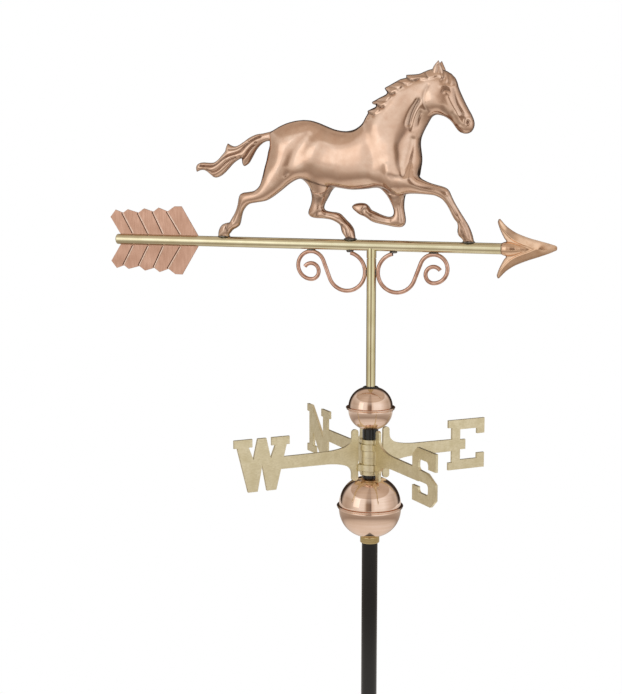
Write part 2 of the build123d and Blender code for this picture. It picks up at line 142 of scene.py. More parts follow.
def worked_metal(name, pale, deep, smooth, dull, marks, depth, clouds=18.0, seam=False, patina_and_painted_shade=False):
    """Metal from tool marks and clouds.

    pale and deep are the two tones, smooth and dull the two roughnesses, marks the spacing of the
    tool marks along x, y and z, depth their height, and clouds the size of the polished patches.
    seam darkens the middle plane, where two halves are soldered; the last flag darkens pressed creases from the
    points' crease marks, partly as patina and partly as painted shade.
    """
    finish, tree, shader, place = new_finish(name)
    stretched = add(tree, "ShaderNodeMapping", {"Vector": place, "Scale": [1 / (m * MM) for m in marks]})
    lines = add(tree, "ShaderNodeTexNoise", {"Vector": stretched.outputs[0], "Scale": 1.0, "Detail": 3.0})
    patches = add(tree, "ShaderNodeTexNoise", {"Vector": place, "Scale": 1 / (clouds * MM), "Detail": 4.0})
    both = add(tree, "ShaderNodeMath", {0: lines.outputs[0], 1: patches.outputs[0]}, operation="MULTIPLY")
    tone = add(tree, "ShaderNodeMapRange", {0: both.outputs[0], 1: 0.14, 2: 0.38})
    colour = add(tree, "ShaderNodeMix", {0: tone.outputs[0], 6: paint(deep), 7: paint(pale)}, data_type="RGBA")
    colour = colour.outputs[2]
    rough = add(tree, "ShaderNodeMapRange", {0: both.outputs[0], 1: 0.12, 2: 0.4, 3: dull, 4: smooth}).outputs[0]
    stains_and_painted_shade = []
    if seam:
        axes = add(tree, "ShaderNodeSeparateXYZ", {0: place})
        off = add(tree, "ShaderNodeMath", {0: axes.outputs[1]}, operation="ABSOLUTE")
        near = add(tree, "ShaderNodeMapRange",
                   {0: off.outputs[0], 1: SEAM_DARK * MM, 2: SEAM_CLEAN * MM, 3: 0.8, 4: 0.0})
        worn = add(tree, "ShaderNodeMath", {0: near.outputs[0], 1: patches.outputs[0]}, operation="MULTIPLY")
        stains_and_painted_shade.append((worn.outputs[0], "4A3026"))
    if patina_and_painted_shade:
        # Creases take a dark brown from the points' crease marks: patina and painted shade in the folds, painted
        # shade along outlines.
        stains_and_painted_shade.append((add(tree, "ShaderNodeAttribute", attribute_name="patina_and_painted_shade").outputs["Fac"], "4A2E20"))
    for share, dark in stains_and_painted_shade:
        colour = add(tree, "ShaderNodeMix", {0: share, 6: colour, 7: paint(dark)}, data_type="RGBA").outputs[2]
    tree.links.new(colour, shader.inputs["Base Color"])
    tree.links.new(rough, shader.inputs["Roughness"])
    bump = add(tree, "ShaderNodeBump", {"Height": lines.outputs[0], "Distance": depth * MM, "Strength": 1.0})
    tree.links.new(bump.outputs[0], shader.inputs["Normal"])
    return finish


# %% [markdown]
# ## The finishes of this vane
#
# Copper and brass differ in hue, but the eye tells the pieces apart by how each was worked. The
# comment above a metal says what that gives the eye. The castings are rubbed on their flat faces
# only, and their rounded edges get a darker finish.

# %% Make the metals
# Pressed, and polished by hand: soft pink mirrors, brown where they see the ceiling; folds darkened by patina and
# painted shade.
pressed_copper = worked_metal("pressed_polished_copper", "EACCB6", "DFBCA4", 0.15, 0.22, (9, 9, 9), 0.004, 26,
                              True, True)
# Spun on a lathe and left bright: a clear mirror with fine rings.
spun_copper = worked_metal("spun_mirror_copper", "F4DAC8", "EACCB6", 0.035, 0.08, (60, 60, 1.6), 0.001, 30)
# Drawn, and bent cold: a deeper pink with one bright line along the rod.
rod_copper = worked_metal("bent_copper_rod", "E6BEAA", "C69A84", 0.06, 0.12, (5, 5, 5), 0.002, 9)
# Rubbed flat with a pad: a dull, even pink with faint upright streaks.
sheet_copper = worked_metal("rubbed_copper_sheet", "CBA48F", "C49B85", 0.3, 0.42, (1.2, 1.2, 12), 0.003, 20)
# Stamped and wiped: a warm satin that keeps the facets apart, with painted shade behind the wings.
stamped_copper = worked_metal("stamped_copper_head", "F6D4B6", "ECC4A2", 0.13, 0.2, (4, 4, 4), 0.002, 14,
                              True, True)
# Drawn through a die: pale and slightly green, with long bright lines.
drawn_brass = worked_metal("drawn_brass_tube", "ECE4C4", "DCD3AE", 0.1, 0.17, (60, 1.5, 1.5), 0.002, 16)
# The same tube, standing and better polished: two bright stripes with a dark one between.
sleeve_brass = worked_metal("drawn_brass_sleeve", "E6DEB8", "D6CDA2", 0.06, 0.12, (1.5, 1.5, 60), 0.002, 16)
# Sand-cast, with its faces rubbed on a belt: matt and pale.
rubbed_brass = worked_metal("rubbed_cast_brass", "F6ECCB", "E6DBB6", 0.34, 0.46, (3, 3, 1.4), 0.008, 10)
# Darker finish on the rounded edges: dark olive outlines round the letters.
dark_edge_finish = worked_metal("cast_brass_dark_edge", "5E5230", "453B22", 0.35, 0.5, (2, 2, 2), 0.01, 8)
# Turned on a lathe: a richer yellow with rings.
turned_brass = worked_metal("turned_brass_collar", "E6D2A0", "D2BC84", 0.12, 0.2, (30, 30, 0.8), 0.002, 12)
# Ground steel: a cold grey, seen only on screws and the spindle.
bright_steel = worked_metal("bright_steel", "C9CBCE", "A9ABAE", 0.2, 0.34, (20, 20, 1), 0.002, 10)
# Solder cooled in air: dull, grey and lumpy.
soft_solder = worked_metal("soft_solder", "9A9896", "5E5B5A", 0.3, 0.5, (1.5, 1.5, 1.5), 0.03, 4)
# Ribs: a pale finish that paints the highlight their edges catch, as thin light lines.
painted_highlight_rib = worked_metal("rib_painted_highlight", "FBE2D2", "F2D0BC", 0.22, 0.34, (3, 3, 3), 0.001, 9)
# Beside each rib: a dark finish that paints the shadow at the rib's side, as thin dark lines.
painted_shadow_line = worked_metal("painted_shadow_beside_a_rib", "5A3A2E", "42281E", 0.3, 0.45, (3, 3, 3), 0.002, 9)
print("metals", len(bpy.data.materials))

# %% [markdown]
# ## Black paint on the mast
#
# The mast is a steel bar with satin black paint. Paint is not a metal: it has a dark body colour
# under a thin gloss, with a faint orange-peel texture that breaks up the long highlights.

# %% Make the paint
mast_paint, tree, shader, place = new_finish("satin_black_paint", 0.0, 0.25)
shader.inputs["IOR"].default_value = 1.55
peel = add(tree, "ShaderNodeTexNoise", {"Vector": place, "Scale": 1 / (2.5 * MM), "Detail": 3.0})
shade = add(tree, "ShaderNodeMix", {0: peel.outputs[0], 6: paint("08090A"), 7: paint("101113")}, data_type="RGBA")
gloss = add(tree, "ShaderNodeMapRange", {0: peel.outputs[0], 3: 0.13, 4: 0.2})
bump = add(tree, "ShaderNodeBump", {"Height": peel.outputs[0], "Distance": 0.02 * MM, "Strength": 1.0})
tree.links.new(shade.outputs[2], shader.inputs["Base Color"])
tree.links.new(gloss.outputs[0], shader.inputs["Roughness"])
tree.links.new(bump.outputs[0], shader.inputs["Normal"])
print("paint", mast_paint.name)

# %% [markdown]
# ## Light, floor and camera
#
# Bright metal shows the room more than the lamps. This studio is a white tent with a dark gap where
# the camera stands, greyer walls at the sides and behind, a dimmer ceiling, and a dark ring round
# the white sweep that the camera looks at. The ceiling draws the brown band along the horse's back,
# and the ring draws the dark outlines. The room's colour is the product of three ramps: one round
# the mast, one over the height, and one that opens from the line of sight. The camera itself sees
# plain white.

# %% Build the studio
CAMERA_SIDE = math.radians(17.8)  # how far the camera stands to the right of the horse's right side
SIGHT = (-0.3023, 0.9424, -0.143)  # the way the camera looks
ROUND = (  # degrees round the mast from the camera, and the colour there
    (-180, "E8E4E0"), (-100, "C0B6AC"), (-76, "CCC2B8"), (-54, "F4F0EC"), (-38, "FFFFFF"), (-22, "F6F2EE"),
    (-15, "C4B6AA"), (-12, "9A8878"), (1, "85756A"), (4, "6E6058"), (7, "E2D6CC"), (20, "FFFFFF"), (52, "FFFFFF"),
    (80, "DCD2CA"), (105, "C0B6AC"), (180, "E8E4E0"),
)
UPWARD = (  # degrees above the horizon
    (-90, "A89E96"), (-50, "C4BBB4"), (-18, "E8E4E0"), (0, "FFFFFF"), (32, "FFFFFF"), (34.5, "D6CABE"),
    (60, "D2C6BA"), (90, "C6BAAE"),
)
BEHIND = ((0, "FFFFFF"), (8, "FFFFFF"), (12, "3A322C"), (44, "4A423C"), (60, "FFFFFF"))  # degrees off the sight


def ramp_node(tree, value, stops):
    """Colour ramp with the given (position, hex) stops."""
    node = add(tree, "ShaderNodeValToRGB", {0: value})
    ramp = node.color_ramp
    while len(ramp.elements) < len(stops):
        ramp.elements.new(0.5)
    for element, (position, code) in zip(ramp.elements, stops):
        element.position = position
    for element, (position, code) in zip(ramp.elements, stops):
        element.color = paint(code)
    return node.outputs[0]


def soft_room():
    """World light from the three ramps."""
    world = bpy.data.worlds.new("soft_room")
    bpy.context.scene.world = world
    world.use_nodes = True
    tree = world.node_tree
    direction = add(tree, "ShaderNodeTexCoord").outputs["Generated"]
    turned = add(tree, "ShaderNodeVectorRotate", {0: direction, "Angle": math.pi / 2 - CAMERA_SIDE},
                 rotation_type="Z_AXIS")
    axes = add(tree, "ShaderNodeSeparateXYZ", {0: turned.outputs[0]})
    bearing = add(tree, "ShaderNodeMath", {0: axes.outputs[1], 1: axes.outputs[0]}, operation="ARCTAN2")
    away = add(tree, "ShaderNodeVectorMath", {0: direction, 1: SIGHT}, operation="DOT_PRODUCT")
    off_sight = add(tree, "ShaderNodeMath", {0: away.outputs["Value"]}, operation="ARCCOSINE")
    walls, levels, ring = (
        ramp_node(tree, add(tree, "ShaderNodeMapRange", {0: value, 1: low, 2: high}).outputs[0], stops)
        for value, low, high, stops in (
            (bearing.outputs[0], -math.pi, math.pi, [(a / 360 + 0.5, code) for a, code in ROUND]),
            (axes.outputs[2], -1.0, 1.0, [((math.sin(math.radians(e)) + 1) / 2, code) for e, code in UPWARD]),
            (off_sight.outputs[0], 0.0, math.pi, [(a / 180, code) for a, code in BEHIND])))
    flat = add(tree, "ShaderNodeMath", {0: axes.outputs[2]}, operation="ABSOLUTE")
    reach = add(tree, "ShaderNodeMapRange", {0: flat.outputs[0], 1: 0.24, 2: 0.7, 3: 1.0, 4: 0.35})
    room = add(tree, "ShaderNodeMix", {0: reach.outputs[0], 6: WHITE, 7: walls}, data_type="RGBA").outputs[2]
    for part in (levels, ring):
        room = add(tree, "ShaderNodeMix", {0: 1.0, 6: part, 7: room}, data_type="RGBA",
                   blend_type="MULTIPLY").outputs[2]
    seen = add(tree, "ShaderNodeLightPath").outputs["Is Camera Ray"]
    shown = add(tree, "ShaderNodeMix", {0: seen, 6: room, 7: WHITE}, data_type="RGBA")
    tree.links.new(shown.outputs[2], tree.nodes["Background"].inputs[0])
    tree.nodes["Background"].inputs[1].default_value = 1.0


soft_room()
bpy.context.scene.view_settings.view_transform = "Standard"
print("world", bpy.context.scene.world.name)

# %% Lay the floor
FLOOR = 2.2  # half its width in metres; past it, upright metal mirrors the room
# Away from the camera the floor is not lit: it glows, with painted brightness darkest in a ring about 0.7 m from the
# mast and paler outwards.
FLOOR_PAINTED_GLOW = (
    (0, "EAE4DE"), (0.09, "D8D0C8"), (0.16, "A4988E"), (0.32, "B8AEA4"), (0.7, "EFECE8"), (1, "FFFFFF"),
)
floor_mesh = bpy.data.meshes.new("pale_floor")
corners = [(-FLOOR, -FLOOR, 0), (FLOOR, -FLOOR, 0), (FLOOR, FLOOR, 0), (-FLOOR, FLOOR, 0)]
floor_mesh.from_pydata(corners, [], [(0, 1, 2, 3)])
floor = placed("pale_floor", floor_mesh)
floor_paint = bpy.data.materials.new("pale_floor_paint")
floor_paint.use_nodes = True
tree = floor_paint.node_tree
seen = add(tree, "ShaderNodeLightPath").outputs["Is Camera Ray"]
glow = add(tree, "ShaderNodeEmission", {0: WHITE, 1: 1.0})
spread = add(tree, "ShaderNodeVectorMath", {0: add(tree, "ShaderNodeTexCoord").outputs["Object"]},
             operation="LENGTH")
far = add(tree, "ShaderNodeMapRange", {0: spread.outputs["Value"], 1: 0.2, 2: 3.4})
# Rays other than the camera's see the floor glow with the painted brightness ramp.
pale = add(tree, "ShaderNodeEmission", {0: ramp_node(tree, far.outputs[0], FLOOR_PAINTED_GLOW), 1: 1.0})
mixed = add(tree, "ShaderNodeMixShader", {0: seen, 1: pale.outputs[0], 2: glow.outputs[0]})
tree.links.new(mixed.outputs[0], tree.nodes["Material Output"].inputs[0])
floor_mesh.materials.append(floor_paint)
print("floor", 2 * FLOOR, "m wide")

# %% Place the camera and the left panel
TURN, DROP = math.radians(20.278), math.radians(8.245)
camera = placed("camera", bpy.data.cameras.new("camera"))
bpy.context.scene.camera = camera
camera.data.sensor_fit, camera.data.sensor_height, camera.data.lens = "VERTICAL", 36.0, 72.04
camera.location = (0.495, -1.5435, AXIS_Z * MM + 0.115)
camera.rotation_euler = (math.pi / 2 - DROP, 0, TURN)

lamp = bpy.data.lights.new("left_panel", "AREA")
lamp.shape, lamp.size, lamp.size_y, lamp.energy = "RECTANGLE", 1.0, 1.3, 1.6
panel = placed("left_panel", lamp)
panel.location = (-1.3, -1.9, 1.0)
aim = Vector((0, 0, AXIS_Z * MM)) - panel.location
panel.rotation_euler = aim.to_track_quat("-Z", "Y").to_euler()
print("camera at", tuple(round(v, 3) for v in camera.location))

# %% [markdown]
# ## Parts that are right already
#
# Plain round parts come from the CAD with exact shapes: the mast, spindle, bearing ball, screws,
# tubes, caps and collar. They only need their metal. A CAD object's mesh is never changed, so the
# finish goes in its material slot.

# %% Give the plain parts their metal
PLAIN = {
    "mast_rod": mast_paint, "spindle": bright_steel, "pivot_ball": bright_steel,
    "collar_set_screw": bright_steel, "hub_set_screws": bright_steel, "ball_collar": turned_brass,
    "sleeve_tube": sleeve_brass, "sleeve_cap": sleeve_brass, "arrow_tube": drawn_brass,
    "arrow_tail_cap": drawn_brass,
}
for node, finish in PLAIN.items():
    if not nodes[node].material_slots:
        nodes[node].data.materials.append(finish)
    for slot in nodes[node].material_slots:
        slot.material = finish
print("plain parts", len(PLAIN))

# %% [markdown]
# ## From points to a piece
#
# Every new piece ends the same way: its points go from millimetres to metres, its faces are turned
# outwards, it is put on the body it rides on, it gets its metal slots, and the CAD nodes it stands
# for are hidden. One function does that, so no piece can forget a step.

# %% Turn points and faces into a finished piece
def mesh_points(mesh):
    """Points of a mesh in millimetres."""
    points = np.empty(len(mesh.vertices) * 3)
    mesh.vertices.foreach_get("co", points)
    return points.reshape(-1, 3) / MM


def finish_piece(name, mesh, body, finishes, stands_for):
    """Place a mesh in the scene at the origin, give it its finishes, put it on its body, and hide the CAD nodes it
    stands for.
    """
    piece = placed(name, mesh)
    which = np.zeros(len(mesh.polygons), dtype=np.int32)
    mesh.polygons.foreach_get("material_index", which)
    mesh.materials.clear()
    for finish in finishes:
        mesh.materials.append(finish)
    mesh.polygons.foreach_set("material_index", which)
    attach(piece, body)
    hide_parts(*stands_for)
    print(name, len(mesh.polygons), "faces", np.round(np.ptp(mesh_points(mesh), axis=0), 1), "mm")


def metal_mesh(name, points, faces, smooth_angle=35.0):
    """Mesh from points in millimetres, with outward faces and sharp edges kept."""
    mesh = bpy.data.meshes.new(name)
    mesh.from_pydata((np.asarray(points) * MM).tolist(), [], [list(map(int, f)) for f in faces])
    form = bmesh.new()
    form.from_mesh(mesh)
    bmesh.ops.remove_doubles(form, verts=form.verts, dist=0.002 * MM)
    bmesh.ops.recalc_face_normals(form, faces=form.faces)
    if form.calc_volume(signed=True) < 0:
        bmesh.ops.reverse_faces(form, faces=form.faces)
    form.to_mesh(mesh)
    form.free()
    mesh.shade_smooth()
    mesh.set_sharp_from_angle(angle=math.radians(smooth_angle))
    return mesh


# %% [markdown]
# ## Copper balls
#
# Each ball is two halves spun from thin sheet over a wooden form. The lower half ends in a flat
# rim, and the upper half's rim is rolled up into a small lip. A lathe profile turned about the
# mast is exactly how the real one is made, so the profile is drawn once as a closed loop of sheet,
# outside line out and inside line back, and spun.

# %% Spin the balls
TURNS = 144


def spun(profile):
    """Closed ring of sheet from a closed loop of (radius, height) points."""
    loop = np.asarray(profile, float)
    angles = np.arange(TURNS) * 2 * math.pi / TURNS
    points = [(r * math.cos(a), r * math.sin(a), z) for a in angles for r, z in loop]
    n = len(loop)
    faces = [(i * n + j, ((i + 1) % TURNS) * n + j, ((i + 1) % TURNS) * n + (j + 1) % n, i * n + (j + 1) % n)
             for i in range(TURNS) for j in range(n)]
    return points, faces


def arc(centre, radius, start, stop, steps):
    """Points on an arc, with angles in degrees."""
    turn = np.radians(np.linspace(start, stop, steps))
    return [(centre[0] + radius * math.cos(t), centre[1] + radius * math.sin(t)) for t in turn]


BALL_WALL = 0.9
LIP_R, FILLET_R = 0.65, 0.45
FULLNESS = 2.2  # 2 is a true circle; the spun halves are a little fuller


def full_arc(radius, tall, hole, foot, steps):
    """Meridian of a slightly full ball from the mast hole down to a height above the rim."""
    height = tall / (1 - (hole / radius) ** FULLNESS) ** (1 / FULLNESS)
    top = math.asin((tall / height) ** (FULLNESS / 2))
    low = math.asin((foot / height) ** (FULLNESS / 2))
    turn = np.linspace(top, low, steps)
    return [(radius * math.cos(t) ** (2 / FULLNESS), height * math.sin(t) ** (2 / FULLNESS)) for t in turn]


def ball_profile(upper, lower, side):
    """Sheet loop of one half: mast hole, dome, rim and, on the upper half, the rolled lip."""
    rim = span(upper, 0)[1]
    low, high = span(lower, 2)[0], span(upper, 2)[1]
    seat = span(lower, 2)[1]
    tall = (high - seat) if side == 1 else (seat - low)
    hole = MAST_R + 0.05
    radius = math.hypot(tall, hole)
    outside = full_arc(radius, tall, hole, BALL_WALL + FILLET_R, 44)
    foot = outside[-1][0] + FILLET_R * 0.9
    fillet = arc((foot, BALL_WALL + FILLET_R), FILLET_R, 190, 268, 6)
    edge = [(rim - 1.3, BALL_WALL)]
    if side == 1:
        edge += arc((rim - LIP_R, 1.25), LIP_R, 215, -60, 14)
        edge += [(rim - 0.6, 0.35), (rim - 1.0, 0.0)]
    else:
        edge += [(rim - 0.9, BALL_WALL - 0.15), (rim - 0.75, BALL_WALL / 2), (rim - 0.9, 0.15), (rim - 1.1, 0.0)]
    inside = full_arc(radius - BALL_WALL, tall - BALL_WALL, hole, 0.6, 30)[::-1]
    return [(r, seat + side * z) for r, z in outside + fillet + edge + inside]


for ball in ("large_ball", "small_ball"):
    for part, side in (("upper", 1), ("lower", -1)):
        node = f"{ball}_{part}_half"
        profile = ball_profile(f"{ball}_upper_half", f"{ball}_lower_half", side)
        mesh = metal_mesh(f"{node}_spun", *spun(profile))
        finish_piece(f"{node}_spun", mesh, "mast", [spun_copper], [node])

# %% [markdown]
# ## Compass castings
#
# The hubs, arms and letters are sand-cast brass. The flat faces are rubbed on a belt, and the
# edges keep a small round in a darker finish. The CAD casting has the right outline, so a
# copy of it is merged, its flat triangles are joined, and a Bevel modifier rounds the edges and
# gives the rounds a second, darker finish.

# %% Round and darken the edges of the castings
HUB_SPLIT = AXIS_Z - 251.0  # height where the two hubs meet
HUB_R, BAND_R = 12.3, 13.6  # plain part of a hub, and its raised bands
BAND_EDGES = (8.3, 16.5)  # above and below the split
GROOVE, EDGE_ROUND = 0.4, 0.55  # half a groove's height, and the round on the edges
CAST_FINISHES = [rubbed_brass, dark_edge_finish]


def groove_tool():
    """Thin washers that cut a groove beside each raised band of the hubs."""
    points, faces = [], []
    for z in [HUB_SPLIT + side * edge for edge in BAND_EDGES for side in (1, -1)]:
        inner, outer = HUB_R - 1.0, BAND_R + 0.4
        ring, sides = spun([(inner, z - GROOVE), (outer, z - GROOVE), (outer, z + GROOVE), (inner, z + GROOVE)])
        faces += [tuple(i + len(points) for i in face) for face in sides]
        points += ring
    return placed("groove_tool", metal_mesh("groove_tool", points, faces))


def bake(blank):
    """Plain mesh of an object with its modifiers, after which the object is removed."""
    bpy.context.view_layer.update()
    graph = bpy.context.evaluated_depsgraph_get()
    mesh = bpy.data.meshes.new_from_object(blank.evaluated_get(graph), depsgraph=graph)
    bpy.data.objects.remove(blank)
    return mesh


def casting(node, name):
    """Copy of a CAD casting with grooved hubs and rounded edges, the rounds in the darker finish."""
    form = bmesh.new()
    form.from_mesh(nodes[node].data)
    bmesh.ops.remove_doubles(form, verts=form.verts, dist=0.01 * MM)
    bmesh.ops.dissolve_limit(form, angle_limit=math.radians(0.5), verts=form.verts, edges=form.edges)
    for face in form.faces:
        face.material_index = 0
    rough = bpy.data.meshes.new(name + "_rough")
    form.to_mesh(rough)
    form.free()
    rough.materials.clear()
    for finish in CAST_FINISHES:
        rough.materials.append(finish)
    rough.shade_smooth()
    blank, tool = placed(name + "_rough", rough), groove_tool()
    cut = blank.modifiers.new("grooves", "BOOLEAN")
    cut.operation, cut.solver, cut.object = "DIFFERENCE", "EXACT", tool
    edge = blank.modifiers.new("edge", "BEVEL")
    edge.width, edge.segments, edge.limit_method = EDGE_ROUND * MM, 2, "ANGLE"
    edge.angle_limit, edge.material = math.radians(50), 1
    even = blank.modifiers.new("even", "WEIGHTED_NORMAL")
    even.weight, even.keep_sharp = 100, True
    mesh = bake(blank)
    bpy.data.objects.remove(tool)
    mesh.name = name
    finish_piece(name, mesh, "mast", CAST_FINISHES, [node])


for way in ("north_south", "east_west"):
    casting(f"compass_arm_{way}", f"{way}_casting")

# %% [markdown]
# ## A rod that follows a line
#
# The scrolls are round copper rod bent round pegs, and the ribs on the feathers are pressed along
# straight lines. Both are a round section that follows a line, so one Geometry Nodes tree makes
# them: it turns edges to a curve, sweeps a circle along it, closes the ends, and sets the finish.

# %% Build the rod tree
def rod_tree():
    """Geometry Nodes tree: a round section swept along the incoming edges."""
    tree = bpy.data.node_groups.new("rod_along_line", "GeometryNodeTree")
    face = tree.interface
    face.new_socket("Geometry", in_out="INPUT", socket_type="NodeSocketGeometry")
    for name, kind, value in (("Rod radius", "NodeSocketFloat", 0.002), ("Sides", "NodeSocketInt", 24),
                              ("Finish", "NodeSocketMaterial", None)):
        socket = face.new_socket(name, in_out="INPUT", socket_type=kind)
        if value is not None:
            socket.default_value = value
    face.new_socket("Geometry", in_out="OUTPUT", socket_type="NodeSocketGeometry")
    given = add(tree, "NodeGroupInput")
    line = add(tree, "GeometryNodeMeshToCurve", {"Mesh": given.outputs["Geometry"]})
    section = add(tree, "GeometryNodeCurvePrimitiveCircle",
                  {"Resolution": given.outputs["Sides"], "Radius": given.outputs["Rod radius"]})
    swept = add(tree, "GeometryNodeCurveToMesh",
                {"Curve": line.outputs[0], "Profile Curve": section.outputs[0], "Fill Caps": True})
    soft = add(tree, "GeometryNodeSetShadeSmooth", {"Geometry": swept.outputs[0]})
    whole = add(tree, "GeometryNodeRealizeInstances", {"Geometry": soft.outputs[0]})
    dressed = add(tree, "GeometryNodeSetMaterial",
                  {"Geometry": whole.outputs[0], "Material": given.outputs["Finish"]})
    add(tree, "NodeGroupOutput", {"Geometry": dressed.outputs[0]})
    return tree


ROD_TREE = rod_tree()


def rods(name, lines, radius, sides, finish):
    """Mesh of round rods along lines of points in millimetres."""
    points, edges = [], []
    for line in lines:
        first = len(points)
        points += [tuple(np.asarray(p) * MM) for p in line]
        edges += [(i, i + 1) for i in range(first, len(points) - 1)]
    wire = bpy.data.meshes.new(name + "_line")
    wire.from_pydata(points, edges, [])
    blank = placed(name + "_line", wire)
    sweep = blank.modifiers.new("rod", "NODES")
    sweep.node_group = ROD_TREE
    inputs = {s.name: s.identifier for s in ROD_TREE.interface.items_tree if s.in_out == "INPUT"}
    for label, value in (("Rod radius", radius * MM), ("Sides", sides), ("Finish", finish)):
        sweep[inputs[label]] = value
    return bake(blank)


print("tree nodes", len(ROD_TREE.nodes))

# %% [markdown]
# ## Scrolls
#
# Each scroll is one rod: a big hook against the sleeve, a straight rise, and a curl that tightens
# inside itself. The line is made of circles and the straight line that crosses between them, with
# the same radii as the CAD rod. Its ends are sawn square.

# %% Bend the scrolls
ROD_R = (span("tip_side_scroll", 1)[1] - span("tip_side_scroll", 1)[0]) / 2
GAP = 0.02  # keeps neighbours from touching
HOOK_R, CURL_R, CURL_END_R = 22.7, 16.5, 9.5
HOOK = (SLEEVE_R + ROD_R + HOOK_R + GAP, AXIS_Z - ARROW_R - ROD_R - HOOK_R - GAP)
CURL = (75.0, AXIS_Z - ARROW_R - ROD_R - CURL_R - GAP)
apart = math.dist(HOOK, CURL)
rise = math.degrees(math.atan2(CURL[1] - HOOK[1], CURL[0] - HOOK[0]) + math.asin((HOOK_R + CURL_R) / apart))
scroll_line = arc(HOOK, HOOK_R, 103, rise - 90 + 360, 60)
scroll_line += arc(CURL, CURL_R, rise + 90, -90, 60)[:-1]
scroll_line += arc((CURL[0], CURL[1] - CURL_R + CURL_END_R), CURL_END_R, -90, -325, 50)
for side, name in ((1, "tip_side_scroll"), (-1, "tail_side_scroll")):
    mesh = rods(name, [[(side * x, 0, z) for x, z in scroll_line]], ROD_R, 28, rod_copper)
    mesh.set_sharp_from_angle(angle=math.radians(50))
    finish_piece(name + "_bent", mesh, "vane", [rod_copper], [name])

# %% [markdown]
# ## Feathers
#
# The feathers are flat copper sheet, sheared to five barbs, with a rib pressed along the root of
# each barb. The sheet is one outline given a thickness and a fine sheared edge. The ribs come from
# the same rod tree as the scrolls, half sunk in the sheet. Their pale finish is a painted highlight,
# and a thin dark rod beside each rib is a painted shadow line.

# %% Shear the feathers and press their ribs
SHEET, RIB_R, SHADOW_LINE_R = 1.2, 1.35, 1.0
FRONT, REAR = -221.7, -328.0
BARB_ROOTS = (-310.0, -289.0, -268.5, -245.0)
BARB_NOTCHES = ((-324.0, 32.7), (-302.7, 33.1), (-282.1, 34.7), (-262.6, 35.3))
BARB_PEAKS = ((-334.3, 36.4), (-317.6, 37.1), (-295.0, 38.5), (-275.0, 39.8), (-253.5, 41.6))


def sheared(outline, thick):
    """Flat sheet of the given outline in the arrow's middle plane, with a fine bevel all round."""
    n = len(outline)
    line = np.array(outline)
    after = np.roll(line, -1, 0)
    ahead, behind = after - line, line - np.roll(line, 1, 0)
    ahead /= np.hypot(*ahead.T)[:, None]
    behind /= np.hypot(*behind.T)[:, None]
    area = sum(a[0] * b[1] - b[0] * a[1] for a, b in zip(line, after))
    normal = np.stack([-(ahead[:, 1] + behind[:, 1]), ahead[:, 0] + behind[:, 0]], 1)
    inset = line + np.sign(area) * normal / np.hypot(*normal.T)[:, None] * 0.25
    rings = [(inset, -thick / 2), (line, -thick / 2 + 0.2), (line, thick / 2 - 0.2), (inset, thick / 2)]
    points = [(x, y, AXIS_Z + z) for ring, y in rings for x, z in ring]
    faces = [tuple(range(n)), tuple(range(3 * n, 4 * n))]
    for k in range(3):
        faces += [(k * n + i, k * n + (i + 1) % n, (k + 1) * n + (i + 1) % n, (k + 1) * n + i) for i in range(n)]
    return points, faces


def feather(name, side):
    """One feather with its ribs in a painted highlight finish, and a painted shadow line beside each rib."""
    foot = ARROW_R + GAP
    outline = [(REAR, foot), (-341.7, 27.4)]
    for peak, notch in zip(BARB_PEAKS, BARB_NOTCHES):
        outline += [peak, notch]
    outline += [BARB_PEAKS[-1], (-243.8, 41.8), (FRONT, foot)]
    sheet = metal_mesh(name + "_sheet", *sheared([(x, side * z) for x, z in outline], SHEET), 20)
    lines = [[(root, 0, AXIS_Z + side * (foot + 1.2)), (x, 0, AXIS_Z + side * (z - 0.6))]
             for root, (x, z) in zip(BARB_ROOTS, BARB_NOTCHES)]
    # A thin dark rod beside each rib paints the shadow at its side.
    painted_shadow_lines = [[(x - 1.6, y, z) for x, y, z in line] for line in lines]
    form = bmesh.new()
    form.from_mesh(sheet)
    ends = [len(form.faces)]
    for strip in (rods(name + "_ribs", lines, RIB_R, 16, painted_highlight_rib),
                  rods(name + "_painted_shadow_lines", painted_shadow_lines, SHADOW_LINE_R, 12, painted_shadow_line)):
        form.from_mesh(strip)
        ends.append(len(form.faces))
    for number, face in enumerate(form.faces):
        face.material_index = int(number >= ends[0]) + int(number >= ends[1])
    form.to_mesh(sheet)
    form.free()
    sheet.set_sharp_from_angle(angle=math.radians(40))
    finishes = [sheet_copper, painted_highlight_rib, painted_shadow_line]
    finish_piece(name + "_sheared", sheet, "vane", finishes, [name])


feather("upper_feather", 1)
feather("lower_feather", -1)

# %% [markdown]
# ## Skin over a field
#
# The horse and the arrow head are pressed from sheet: swelling forms with soft ridges and grooves.
# They could be sculpted by hand, but a rule is easier to repeat. Each form is a field of numbers
# in space, positive inside the metal and zero on its surface. A mesher then lays an even skin
# where the field is zero, and each point is slid along the field until it sits exactly there.

# %% Lay a skin where a field is zero
def sample(field, where):
    """Field value between grid points, by blending the eight nearest."""
    top = np.array(field.shape) - 1.001
    where = np.clip(where, 0, top)
    cell = where.astype(int)
    part = where - cell
    total = 0
    for dx, dy, dz in np.ndindex(2, 2, 2):
        share = np.abs(1 - dx - part[:, 0]) * np.abs(1 - dy - part[:, 1]) * np.abs(1 - dz - part[:, 2])
        total = total + share * field[cell[:, 0] + dx, cell[:, 1] + dy, cell[:, 2] + dz]
    return total


BAND = 3.0  # the mesher needs the field only this near its surface, in grid steps


